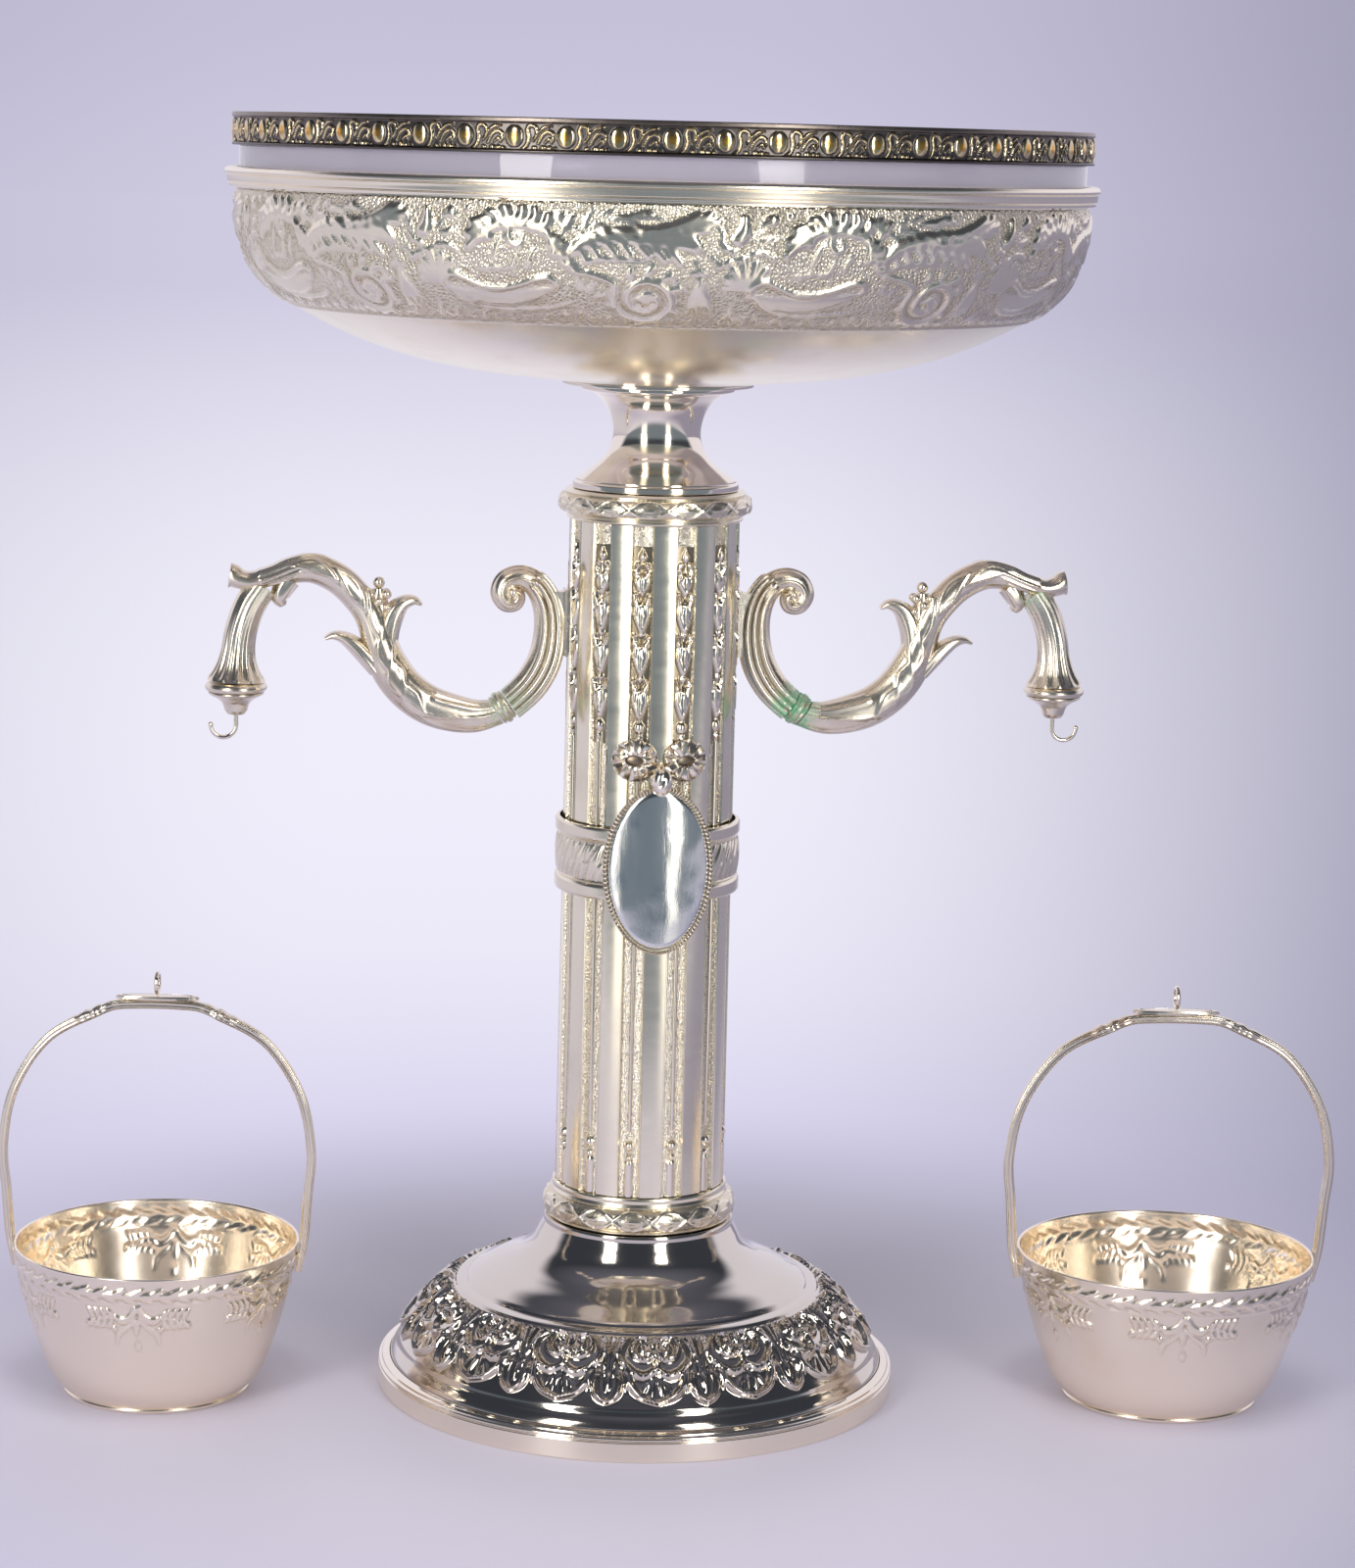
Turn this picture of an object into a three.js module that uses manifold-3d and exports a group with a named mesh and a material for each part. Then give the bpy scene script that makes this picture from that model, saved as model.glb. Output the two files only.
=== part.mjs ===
// A silver table centrepiece: a round foot, a fluted column, a bowl with a glass liner, two
// scrolled arms with hooks, and the two small baskets that hang from the hooks.
// Millimetres, +Z up. The arms lie along X and the medallion faces -Y. The foot rests on Z = 0.
import * as THREE from 'three';
import { mergeVertices } from 'three/addons/utils/BufferGeometryUtils.js';
import Module from 'manifold-3d';

// Clearances and sheet thicknesses
const seatGap = 0.3;
const runningGap = 0.35;
const footSheet = 1.4;
const bowlSheet = 1.4;
const glassWall = 3.2;
const basketSheet = 1.0;

// Foot
const footRadius = 111.3;
const footBandHeight = 10.4;
const footBandWidth = 4.9;
const closingPlateThickness = 1.2;
const footStepRadius = 73;
const footStepHeight = 46.2;
const footTopHeight = 74.2;
const footTopRadius = 41;

// Column with its two collars, and the rod that holds the stack together
const columnFootRadius = 36;
const columnTopRadius = 35.3;
const columnHeight = 284.1;
const columnWall = 2.6;
const channelCount = 12;
const channelDepth = 1.1;
const channelShare = 0.5;
const lowerCollarHeight = 15.4;
const lowerCollarRadius = 41.6;
const upperCollarHeight = 12.4;
const upperCollarRadius = 40.8;
const spigotDepth = 6;
const rodRadius = 3;
const nutAcross = 11;
const nutHeight = 5;
const washerThickness = 1.4;
const washerRadius = 13;

// Neck and the disc under the bowl
const neckHeight = 42.7;
const neckFootRadius = 34.8;
const neckWaistRadius = 18.3;
const neckTopRadius = 32.2;
const neckBore = 13;
const seatDiscRadius = 40;
const seatDiscThickness = 1.5;

// Bowl and liner
const bowlRadius = 176.6;
const bowlDepth = 83.1;
const bowlRimStandsOut = 3.4;
const bowlRimHeight = 8;
const linerFootRadius = 112;
const linerStandsAbove = 21.3;
const galleryHeight = 13.2;
const galleryStandsOut = 2.2;

// Belt, medallion and bow
const beltHeight = 30.4;
const beltMiddleHeight = 232.8;
const beltBore = 37.3;
const beltRadius = 39.2;
const medallionWidth = 47;
const medallionHeight = 71.5;
const medallionRise = 3;
const medallionBendRadius = 60;
const medallionMiddleHeight = 231.9;
const borderRadius = 1.5;
const bowLoopRadius = 9.2;
const bowLoopSpread = 10.6;
const bowMiddleAboveMedallion = 9.75;
const bowKnotAboveMedallion = 3.55;
const studRadius = 2;
const studNutAcross = 7;
const studNutHeight = 2.4;

// Arms, whose heights are measured from the top of the lug that holds them to the column
const armLugWidth = 10;
const armLugThickness = 1.8;
const armWebWidth = 6;
const armLugHeight = 28;
const armBelowColumnTop = 29.8;
const armScrewRadius = 1.5;
const armScrewHeadRadius = 2.8;
const armScrewHeadHeight = 1.8;
const armCollarPlace = new THREE.Vector3(62.8, 0, -50.3);
const armCollarTilt = 35;
const armCollarRadius = 7.4;
const armCollarLength = 6.2;
const dropAxis = 174;
const cupTopHeight = -39.9;
const cupRadius = 13.1;
const cupHeight = 14;
const hookWireRadius = 0.95;
const hookBendRadius = 5.2;

// Baskets
const basketRimRadius = 61.8;
const basketRimHeight = 64.6;
const basketFootRadius = 40.7;
const handleReach = 68;
const handleWidth = 4.8;
const handleThickness = 2.6;
const handleTop = 168.4;
const handlePlateLength = 36;
const handlePlateThickness = 1.6;
const ringRadius = 4.2;
const ringWireRadius = 0.95;
const leftBasketPlace = new THREE.Vector3(-206.1, 2.8, 0);
const rightBasketPlace = new THREE.Vector3(224.7, -36.4, 0);
const baskets = [
  { name: 'basket_left', place: leftBasketPlace, turn: -8, spread: 0.975 },
  { name: 'basket_right', place: rightBasketPlace, turn: -6, spread: 1.03 },
];

// Sides of the turned pieces, from the widest to the smallest
const wideSides = 32;
const basketSides = 24;
const columnSides = 24;
const smallSides = 16;

// Levels of the stack, each piece a seat gap above the one below
const lowerCollarBottom = footTopHeight + seatGap;
const columnBottom = lowerCollarBottom + lowerCollarHeight + seatGap;
const upperCollarBottom = columnBottom + columnHeight + seatGap;
const neckBottom = upperCollarBottom + upperCollarHeight + seatGap;
const seatDiscBottom = neckBottom + neckHeight + seatGap;
const bowlBottom = seatDiscBottom + seatDiscThickness + seatGap;
const bowlTop = bowlBottom + bowlDepth;
const linerTop = bowlTop + linerStandsAbove;

const wasm = await Module();
wasm.setup();

const materials = {
  silver: { color: 0xd9d4cb, roughness: 0.16, metalness: 1 },
  castSilver: { color: 0xcfc6b8, roughness: 0.26, metalness: 1 },
  chasedSilver: { color: 0xc9c2b6, roughness: 0.3, metalness: 1 },
  giltGallery: { color: 0x8c7a4a, roughness: 0.35, metalness: 1 },
  glass: { color: 0xe6ecf0, roughness: 0.05, metalness: 0, transparent: true, opacity: 0.35 },
  brass: { color: 0xb08d4f, roughness: 0.4, metalness: 1 },
  steel: { color: 0x8c8f93, roughness: 0.45, metalness: 1 },
};

const radians = (degrees) => degrees * Math.PI / 180;

// Merges shared corners and turns the surface right side out.
function closed(geometry) {
  geometry.deleteAttribute('normal');
  geometry.deleteAttribute('uv');
  const merged = mergeVertices(geometry, 1e-4);
  const places = merged.attributes.position;
  const corners = merged.index.array;
  const a = new THREE.Vector3();
  const b = new THREE.Vector3();
  const c = new THREE.Vector3();
  let volume = 0;
  for (let i = 0; i < corners.length; i += 3) {
    a.fromBufferAttribute(places, corners[i]);
    b.fromBufferAttribute(places, corners[i + 1]);
    c.fromBufferAttribute(places, corners[i + 2]);
    volume += a.dot(b.cross(c));
  }
  if (volume < 0) {
    for (let i = 0; i < corners.length; i += 3) {
      [corners[i], corners[i + 1]] = [corners[i + 1], corners[i]];
    }
  }
  return merged;
}

// A profile of [radius, height] pairs turned round the Z axis.
function turned(profile, sides) {
  const points = profile.map(([radius, height]) => new THREE.Vector2(radius, height));
  return closed(new THREE.LatheGeometry(points, sides).rotateX(Math.PI / 2));
}

// A turned ring: the profile closes on itself.
function turnedRing(profile, sides) {
  return turned([...profile, profile[0]], sides);
}

// The profile moved to its left by a distance, which is the thickness of a sheet wall.
function leftOf(profile, distance) {
  return profile.map(([radius, height], i) => {
    const [r0, h0] = profile[Math.max(i - 1, 0)];
    const [r1, h1] = profile[Math.min(i + 1, profile.length - 1)];
    const length = Math.hypot(r1 - r0, h1 - h0);
    const outwards = distance * (h1 - h0) / length;
    return [radius - outwards, height + distance * (r1 - r0) / length];
  });
}

// Joins rings of points into one closed skin, with flat ends or, when endless, back to the first ring.
function lofted(rings, endless = false) {
  const sides = rings[0].length;
  const places = rings.flat().flatMap((point) => point.toArray());
  const corners = [];
  const spans = endless ? rings.length : rings.length - 1;
  for (let i = 0; i < spans; i += 1) {
    const near = i * sides;
    const far = ((i + 1) % rings.length) * sides;
    for (let j = 0; j < sides; j += 1) {
      const next = (j + 1) % sides;
      corners.push(near + j, near + next, far + j, near + next, far + next, far + j);
    }
  }
  if (!endless) {
    const last = (rings.length - 1) * sides;
    for (let j = 1; j < sides - 1; j += 1) {
      corners.push(0, j + 1, j, last, last + j, last + j + 1);
    }
  }
  const geometry = new THREE.BufferGeometry();
  geometry.setAttribute('position', new THREE.Float32BufferAttribute(places, 3));
  geometry.setIndex(corners);
  return closed(geometry);
}

// An oval tube through stations of [x, z, half height, half width], in the plane of the arm.
function ovalTube(stations, steps, sides, extra = 0) {
  const places = stations.map(([x, z]) => new THREE.Vector3(x, 0, z));
  const route = new THREE.CatmullRomCurve3(places, false, 'centripetal');
  const halves = stations.map(([, , height, width]) => new THREE.Vector3(height, width, 0));
  const sizes = new THREE.CatmullRomCurve3(halves, false, 'centripetal');
  const across = new THREE.Vector3(0, 1, 0);
  const rings = [];
  for (let i = 0; i <= steps; i += 1) {
    const centre = route.getPoint(i / steps);
    const size = sizes.getPoint(i / steps);
    const up = new THREE.Vector3().crossVectors(route.getTangent(i / steps), across).normalize();
    const ring = [];
    for (let j = 0; j < sides; j += 1) {
      const angle = 2 * Math.PI * j / sides;
      const point = centre.clone();
      point.addScaledVector(up, (size.x + extra) * Math.cos(angle));
      point.addScaledVector(across, (size.y + extra) * Math.sin(angle));
      ring.push(point);
    }
    rings.push(ring);
  }
  return lofted(rings);
}

function toManifold(geometry) {
  const vertProperties = new Float32Array(geometry.attributes.position.array);
  const triVerts = new Uint32Array(geometry.index.array);
  return new wasm.Manifold(new wasm.Mesh({ numProp: 3, vertProperties, triVerts }));
}

function fromManifold(solid) {
  const mesh = solid.getMesh();
  const geometry = new THREE.BufferGeometry();
  geometry.setAttribute('position', new THREE.BufferAttribute(mesh.vertProperties, 3));
  geometry.setIndex(new THREE.BufferAttribute(mesh.triVerts, 1));
  return closed(geometry);
}

function joined(first, ...others) {
  const add = (solid, other) => solid.add(toManifold(other));
  return fromManifold(others.reduce(add, toManifold(first)));
}

function cut(first, ...others) {
  const subtract = (solid, other) => solid.subtract(toManifold(other));
  return fromManifold(others.reduce(subtract, toManifold(first)));
}

// A round bar from one place to another.
function bar(from, to, radius, sides = 10) {
  const geometry = new THREE.CylinderGeometry(radius, radius, from.distanceTo(to), sides);
  const direction = new THREE.Vector3().subVectors(to, from).normalize();
  const turn = new THREE.Quaternion().setFromUnitVectors(new THREE.Vector3(0, 1, 0), direction);
  geometry.applyQuaternion(turn);
  const middle = new THREE.Vector3().addVectors(from, to).multiplyScalar(0.5);
  return closed(geometry.translate(middle.x, middle.y, middle.z));
}

function block(x0, x1, y0, y1, z0, z1) {
  const geometry = new THREE.BoxGeometry(x1 - x0, y1 - y0, z1 - z0);
  return closed(geometry.translate((x0 + x1) / 2, (y0 + y1) / 2, (z0 + z1) / 2));
}

function egg(centre, rx, ry, rz, sides = 12, rows = 8) {
  const geometry = new THREE.SphereGeometry(1, sides, rows).scale(rx, ry, rz);
  return closed(geometry.translate(centre.x, centre.y, centre.z));
}

function piece(name, geometry, material) {
  const mesh = new THREE.Mesh(geometry, new THREE.MeshStandardMaterial(materials[material]));
  mesh.name = name;
  return mesh;
}

// Foot: a rim band, the domed foot inside it and the flat plate that closes it.
const bandInside = footRadius - footBandWidth;

function footBand() {
  const top = footBandHeight;
  return turnedRing([
    [bandInside, 0],
    [footRadius, 0],
    [footRadius, top - 1.2],
    [footRadius - 0.9, top],
    [footRadius - 2.8, top + 1.2],
    [bandInside, top + 1.6],
  ], wideSides);
}

function footDome() {
  const skirtFoot = bandInside - seatGap;
  const bottom = closingPlateThickness + seatGap;
  const outside = [
    [skirtFoot, bottom],
    [skirtFoot, footBandHeight + 2.2],
    [skirtFoot - 2.4, footBandHeight + 6.8],
    [skirtFoot - 7.4, footBandHeight + 14.8],
    [skirtFoot - 15.4, footStepHeight - 10.6],
    [footStepRadius + 6.4, footStepHeight - 3],
    [footStepRadius + 0.6, footStepHeight - 0.8],
    [footStepRadius - 1, footStepHeight + 1.2],
    [footTopRadius + 16, footTopHeight - 20.6],
    [footTopRadius + 7.4, footTopHeight - 14.6],
    [footTopRadius + 1.8, footTopHeight - 7],
    [footTopRadius - 0.6, footTopHeight],
  ];
  const inside = leftOf(outside, footSheet);
  inside[inside.length - 1] = [footTopRadius - 0.6 - footSheet, footTopHeight - footSheet];
  const bore = rodRadius + seatGap;
  return turnedRing([
    ...outside,
    [bore, footTopHeight],
    [bore, footTopHeight - footSheet],
    ...inside.reverse(),
  ], wideSides);
}

function closingPlate() {
  const edge = bandInside - seatGap;
  return turned([[0, 0], [edge, 0], [edge, closingPlateThickness], [0, closingPlateThickness]], wideSides);
}

// Collars: each is a torus between two fillets, with a spigot that centres the column.
const lowerBore = columnFootRadius - columnWall - channelDepth;
const upperBore = columnTopRadius - columnWall - channelDepth;
const collarHole = 20;

function lowerCollar() {
  const bottom = lowerCollarBottom;
  const top = bottom + lowerCollarHeight;
  const spigot = lowerBore - seatGap;
  return turnedRing([
    [collarHole, bottom],
    [footTopRadius - 1.8, bottom],
    [lowerCollarRadius - 0.9, bottom + 2],
    [lowerCollarRadius, bottom + 5.6],
    [lowerCollarRadius - 1, bottom + 9.2],
    [columnFootRadius + 1.5, bottom + 11.8],
    [columnFootRadius + 1.2, top],
    [spigot, top],
    [spigot, top + spigotDepth],
    [collarHole, top + spigotDepth],
  ], columnSides);
}

function upperCollar() {
  const bottom = upperCollarBottom;
  const top = bottom + upperCollarHeight;
  const spigot = upperBore - seatGap;
  const hole = rodRadius + seatGap;
  return turnedRing([
    [hole, bottom - spigotDepth],
    [spigot, bottom - spigotDepth],
    [spigot, bottom],
    [columnTopRadius + 1.4, bottom],
    [columnTopRadius + 1.4, bottom + 2.4],
    [upperCollarRadius - 1.2, bottom + 3.4],
    [upperCollarRadius, bottom + 6.6],
    [upperCollarRadius - 1.2, bottom + 9.8],
    [neckFootRadius + 2.4, top],
    [hole, top],
  ], columnSides);
}

// Column: twelve sunk channels between plain strips, a strip facing the front.
function columnOutline(radius, height) {
  const points = [];
  const pitch = 2 * Math.PI / channelCount;
  const strip = pitch * (1 - channelShare);
  for (let i = 0; i < channelCount; i += 1) {
    const middle = i * pitch - Math.PI / 2;
    for (const [turn, depth] of [
      [-strip / 2, 0],
      [strip / 2, 0],
      [strip / 2 + 0.02, channelDepth],
      [pitch / 2, channelDepth],
      [pitch - strip / 2 - 0.02, channelDepth],
    ]) {
      const reach = radius - depth;
      const angle = middle + turn;
      points.push(new THREE.Vector3(reach * Math.cos(angle), reach * Math.sin(angle), height));
    }
  }
  return points;
}

function circle(radius, height, like) {
  return like.map((point) => {
    const angle = Math.atan2(point.y, point.x);
    return new THREE.Vector3(radius * Math.cos(angle), radius * Math.sin(angle), height);
  });
}

function column(holes) {
  const top = columnBottom + columnHeight;
  const footOutline = columnOutline(columnFootRadius, columnBottom);
  const topOutline = columnOutline(columnTopRadius, top);
  const tube = lofted([
    footOutline,
    topOutline,
    circle(upperBore, top, topOutline),
    circle(lowerBore, columnBottom, footOutline),
  ], true);
  return cut(tube, ...holes);
}

function neck() {
  const z = neckBottom;
  const top = z + neckHeight;
  return turnedRing([
    [neckBore, z],
    [neckFootRadius, z],
    [neckFootRadius, z + 3.6],
    [neckWaistRadius + 11.2, z + 7],
    [neckWaistRadius + 5.6, z + 11.2],
    [neckWaistRadius + 1.8, z + 15.8],
    [neckWaistRadius, z + 22.4],
    [neckWaistRadius + 1.4, top - 12.6],
    [neckWaistRadius + 4.4, top - 7],
    [neckTopRadius - 4.4, top - 2.6],
    [neckTopRadius, top - 1.9],
    [neckTopRadius, top],
    [neckBore, top],
  ], columnSides);
}

function seatDisc() {
  const z = seatDiscBottom;
  const hole = rodRadius + seatGap;
  const top = z + seatDiscThickness;
  return turnedRing([[hole, z], [seatDiscRadius, z], [seatDiscRadius, top], [hole, top]], columnSides);
}

// Bowl: a shallow spun dish with a nearly upright wall, and the moulded wire on its lip.
function bowlOutside() {
  const z = bowlBottom;
  return [
    [rodRadius + seatGap, z],
    [seatDiscRadius + 3, z],
    [bowlRadius * 0.51, z + bowlDepth * 0.076],
    [bowlRadius * 0.668, z + bowlDepth * 0.165],
    [bowlRadius * 0.8, z + bowlDepth * 0.285],
    [bowlRadius * 0.9, z + bowlDepth * 0.41],
    [bowlRadius * 0.958, z + bowlDepth * 0.54],
    [bowlRadius * 0.988, z + bowlDepth * 0.7],
    [bowlRadius, z + bowlDepth],
  ];
}

function bowl() {
  const outside = bowlOutside();
  return turnedRing([...outside, ...leftOf(outside, bowlSheet).reverse()], wideSides);
}

function bowlRim() {
  const inside = bowlRadius + seatGap;
  const outside = bowlRadius + bowlRimStandsOut;
  const top = bowlTop + seatGap + 0.8;
  const bottom = top - bowlRimHeight;
  return turnedRing([
    [inside, bottom],
    [inside + 1.6, bottom],
    [outside - 0.6, bottom + 2.6],
    [outside, bottom + 3.8],
    [outside, top - 2],
    [outside - 2, top],
    [bowlRadius - bowlSheet + 0.4, top],
    [bowlRadius - bowlSheet + 0.4, bowlTop + seatGap],
    [inside, bowlTop + seatGap],
  ], wideSides);
}

// Liner: a clear glass dish that lies in the bowl and carries the gallery strip on its edge.
function linerOutside() {
  const seat = leftOf(bowlOutside(), bowlSheet + seatGap);
  const wall = seat.filter(([radius]) => radius > linerFootRadius);
  const footHeight = wall[0][1];
  return [[0, footHeight], [linerFootRadius - 4, footHeight], ...wall, [wall.at(-1)[0], linerTop]];
}

function liner() {
  const outside = linerOutside();
  const inside = leftOf(outside, glassWall);
  inside[0][0] = 0;
  inside.at(-1)[1] = linerTop;
  return turned([...outside, ...inside.reverse()], wideSides);
}

function gallery() {
  const glassOutside = linerOutside().at(-1)[0];
  const glassInside = glassOutside - glassWall;
  const outside = glassOutside + galleryStandsOut;
  const top = linerTop + seatGap + 1.2;
  const bottom = top - galleryHeight;
  return turnedRing([
    [glassOutside + seatGap, bottom],
    [outside, bottom],
    [outside, top],
    [glassInside - seatGap - 1, top],
    [glassInside - seatGap - 1, top - 4],
    [glassInside - seatGap, top - 4],
    [glassInside - seatGap, linerTop + seatGap],
    [glassOutside + seatGap, linerTop + seatGap],
  ], wideSides);
}

function washer(bottom) {
  const hole = rodRadius + seatGap;
  const top = bottom + washerThickness;
  return turnedRing([[hole, bottom], [washerRadius, bottom], [washerRadius, top], [hole, top]], smallSides);
}

// A six-sided nut with a round hole, standing on its face.
function hexagonNut(holeRadius, across, height) {
  const corner = across / Math.sqrt(3);
  const corners = [];
  for (let i = 0; i < 6; i += 1) {
    const angle = Math.PI * i / 3;
    corners.push(new THREE.Vector2(corner * Math.cos(angle), corner * Math.sin(angle)));
  }
  const shape = new THREE.Shape(corners);
  shape.holes.push(new THREE.Path().absarc(0, 0, holeRadius, 0, 2 * Math.PI, true));
  return closed(new THREE.ExtrudeGeometry(shape, { depth: height, bevelEnabled: false, curveSegments: 6 }));
}

function nut(bottom) {
  return hexagonNut(rodRadius + seatGap, nutAcross, nutHeight).translate(0, 0, bottom);
}

// The rod runs from the nut inside the foot to the nut in the bottom of the bowl.
const footWasherBottom = footTopHeight - footSheet - seatGap - washerThickness;
const footNutBottom = footWasherBottom - seatGap - nutHeight;
const bowlWasherBottom = bowlBottom + bowlSheet + seatGap;
const bowlNutBottom = bowlWasherBottom + washerThickness + seatGap;

function rod() {
  const ends = 2;
  return bar(
    new THREE.Vector3(0, 0, footNutBottom - ends),
    new THREE.Vector3(0, 0, bowlNutBottom + nutHeight + ends),
    rodRadius,
  );
}

// Belt round the column. A stud behind the medallion passes through it and the column wall.
const beltBottom = beltMiddleHeight - beltHeight / 2;
const beltTop = beltBottom + beltHeight;
const studFrontEnd = -beltRadius;
const columnFrontInside = -(upperBore - 3);

function studHole() {
  return bar(
    new THREE.Vector3(0, studFrontEnd - 2, medallionMiddleHeight),
    new THREE.Vector3(0, columnFrontInside, medallionMiddleHeight),
    studRadius + seatGap,
  );
}

function belt() {
  const edge = 4.6;
  const plain = beltRadius - 0.8;
  const ring = turnedRing([
    [beltBore, beltBottom],
    [beltRadius, beltBottom],
    [beltRadius, beltBottom + edge],
    [plain, beltBottom + edge + 0.8],
    [plain, beltTop - edge - 0.8],
    [beltRadius, beltTop - edge],
    [beltRadius, beltTop],
    [beltBore, beltTop],
  ], columnSides);
  return cut(ring, studHole());
}

// The medallion and its border are bent gently round the column.
const medallionBack = beltRadius + seatGap;
const medallionTop = medallionMiddleHeight + medallionHeight / 2;
const bowMiddleHeight = medallionTop + bowMiddleAboveMedallion;
const bowKnotHeight = medallionTop + bowKnotAboveMedallion;

function bentPlace(x, z, outwards) {
  const bend = x * x / (2 * medallionBendRadius);
  return new THREE.Vector3(x, -(medallionBack + outwards - bend), medallionMiddleHeight + z);
}

function ovalRing(halfWidth, halfHeight, outwards, sides) {
  const ring = [];
  for (let j = 0; j < sides; j += 1) {
    const angle = 2 * Math.PI * j / sides;
    ring.push(bentPlace(halfWidth * Math.cos(angle), halfHeight * Math.sin(angle), outwards));
  }
  return ring;
}

function medallion() {
  const halfWidth = medallionWidth / 2 - 2 * borderRadius - seatGap;
  const halfHeight = medallionHeight / 2 - 2 * borderRadius - seatGap;
  const edge = 1.2;
  const rings = [0.02, 0.5, 0.82, 1].map((share) => {
    const rise = edge + medallionRise * Math.sqrt(1 - 0.94 * share * share);
    return ovalRing(halfWidth * share, halfHeight * share, rise, columnSides);
  });
  rings.push(ovalRing(halfWidth, halfHeight, 0, columnSides));
  rings.push(ovalRing(halfWidth * 0.02, halfHeight * 0.02, 0, columnSides));
  return lofted(rings);
}

function medallionBorder(extra = 0) {
  const radius = borderRadius + extra;
  const halfWidth = medallionWidth / 2 - borderRadius;
  const halfHeight = medallionHeight / 2 - borderRadius;
  const rings = [];
  const sides = 6;
  for (let i = 0; i < sides; i += 1) {
    const angle = 2 * Math.PI * i / sides;
    const side = radius * Math.cos(angle);
    const rise = borderRadius + radius * Math.sin(angle);
    rings.push(ovalRing(halfWidth + side, halfHeight + side, rise, columnSides));
  }
  return lofted(rings, true);
}

// Bow: two pierced fans tangent to the column, and the knot that hangs over the medallion.
function bowLoop(side) {
  const eye = bowLoopRadius * 0.26;
  const loop = turnedRing([
    [eye, 0.4],
    [bowLoopRadius, 0.2],
    [bowLoopRadius, 1.4],
    [bowLoopRadius * 0.55, 3.4],
    [eye, 2.2],
  ], smallSides);
  loop.rotateX(Math.PI / 2);
  loop.translate(0, -(columnTopRadius + seatGap), 0);
  loop.rotateZ(side * Math.asin(bowLoopSpread / columnTopRadius));
  loop.translate(0, -0.6, bowMiddleHeight);
  return loop;
}

function bow() {
  const knot = egg(new THREE.Vector3(0, -(medallionBack + 1.2), bowKnotHeight), 4.4, 4.8, 6.2, 10, 6);
  const front = -(columnTopRadius + 4);
  const bridge = block(-6, 6, front, front + 3, bowKnotHeight + 1, bowMiddleHeight + 2);
  const whole = joined(bowLoop(-1), bowLoop(1), knot, bridge);
  return cut(whole, medallionBorder(seatGap));
}

function stud() {
  return bar(
    new THREE.Vector3(0, studFrontEnd, medallionMiddleHeight),
    new THREE.Vector3(0, columnFrontInside + 1, medallionMiddleHeight),
    studRadius,
  );
}

// Distance from the axis to the flat of the bore behind a strip.
function boreFlatAt(height) {
  const share = (height - columnBottom) / columnHeight;
  const bore = lowerBore + (upperBore - lowerBore) * share;
  return bore * Math.cos(Math.PI / channelCount * (1 - channelShare));
}

function studNut() {
  const seat = boreFlatAt(medallionMiddleHeight) - seatGap;
  const geometry = hexagonNut(studRadius + seatGap, studNutAcross, studNutHeight).rotateX(Math.PI / 2);
  return geometry.translate(0, -seat + studNutHeight, medallionMiddleHeight);
}

// Arm: each list holds stations of [x, z, half height, half width] along the cast scroll.
const scrollStations = [
  [59.5, -47.9, 6.3, 5.8],
  [51.4, -39.9, 6.6, 5.8],
  [46.2, -30.3, 6.5, 5.8],
  [44.3, -20.7, 6.1, 5.6],
  [44.5, -10.7, 5.8, 5.4],
  [46.8, -2.7, 5.5, 5.2],
  [50.8, 3.1, 5.1, 4.8],
  [56.8, 5.7, 4.6, 4.6],
  [62.2, 3.5, 3.7, 4.4],
  [64.2, -0.9, 2.7, 4.2],
];
const voluteCentre = new THREE.Vector3(59.2, 0, -0.9);
const limbStations = [
  [65.6, -52.5, 5.5, 5.5],
  [74.4, -54.1, 7, 6.4],
  [85, -52.5, 8.3, 7],
  [95, -48.9, 8.8, 7.4],
  [104.2, -41.9, 9.1, 7.6],
  [110.8, -32.7, 9, 7.6],
  [114.8, -22.5, 7.8, 7],
  [119, -11.5, 7, 6.8],
  [124.4, -3.9, 6.8, 6.6],
  [132, 3.1, 6.9, 6.6],
  [142.2, 7.5, 6.7, 6.6],
  [151.6, 6.9, 5.7, 6.8],
  [161.8, 4.3, 4.2, 6.6],
  [169.4, 4.3, 3.4, 5.4],
  [174.8, 7.1, 1.9, 3.2],
  [177.4, 10.7, 0.5, 1.2],
];
// Leaves that stand off the limb, and the berry in their midst.
const leafStations = {
  upper: [
    [110, -22.5, 2.4, 4.4],
    [108.4, -12.5, 3, 4.8],
    [104.8, -5.5, 2.8, 4.4],
    [100.4, -3.5, 1.9, 3.2],
    [96.4, -4.7, 0.4, 1],
  ],
  lower: [
    [114, -35.5, 2.6, 4.4],
    [121.6, -27.5, 3.6, 4.8],
    [127, -21.7, 2.8, 4.4],
    [132.6, -18.9, 1.8, 3.2],
    [138.2, -20.5, 0.4, 1],
  ],
  under: [
    [152.6, 1.5, 2.6, 4.4],
    [155.4, -2.1, 2.2, 3.8],
    [155.4, -5.7, 1.2, 2.4],
    [154.2, -7.7, 0.4, 1],
  ],
  berry: [
    [115.6, -16.5, 4, 4.4],
    [115, -6.5, 4.4, 4.8],
    [115, -0.3, 3, 3],
    [115.2, 3.9, 0.8, 0.8],
  ],
};
const dropStations = [
  [164.4, -1.1, 6.5, 6.4],
  [169, -8.2, 6.9, 6.8],
  [172.5, -18.9, 6.8, 6.8],
  [dropAxis - 0.6, -28.1, 7.3, 7.2],
  [dropAxis - 0.2, -34.5, 9.2, 9.2],
  [dropAxis, cupTopHeight + seatGap - 1, 12.2, 12.2],
];

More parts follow.
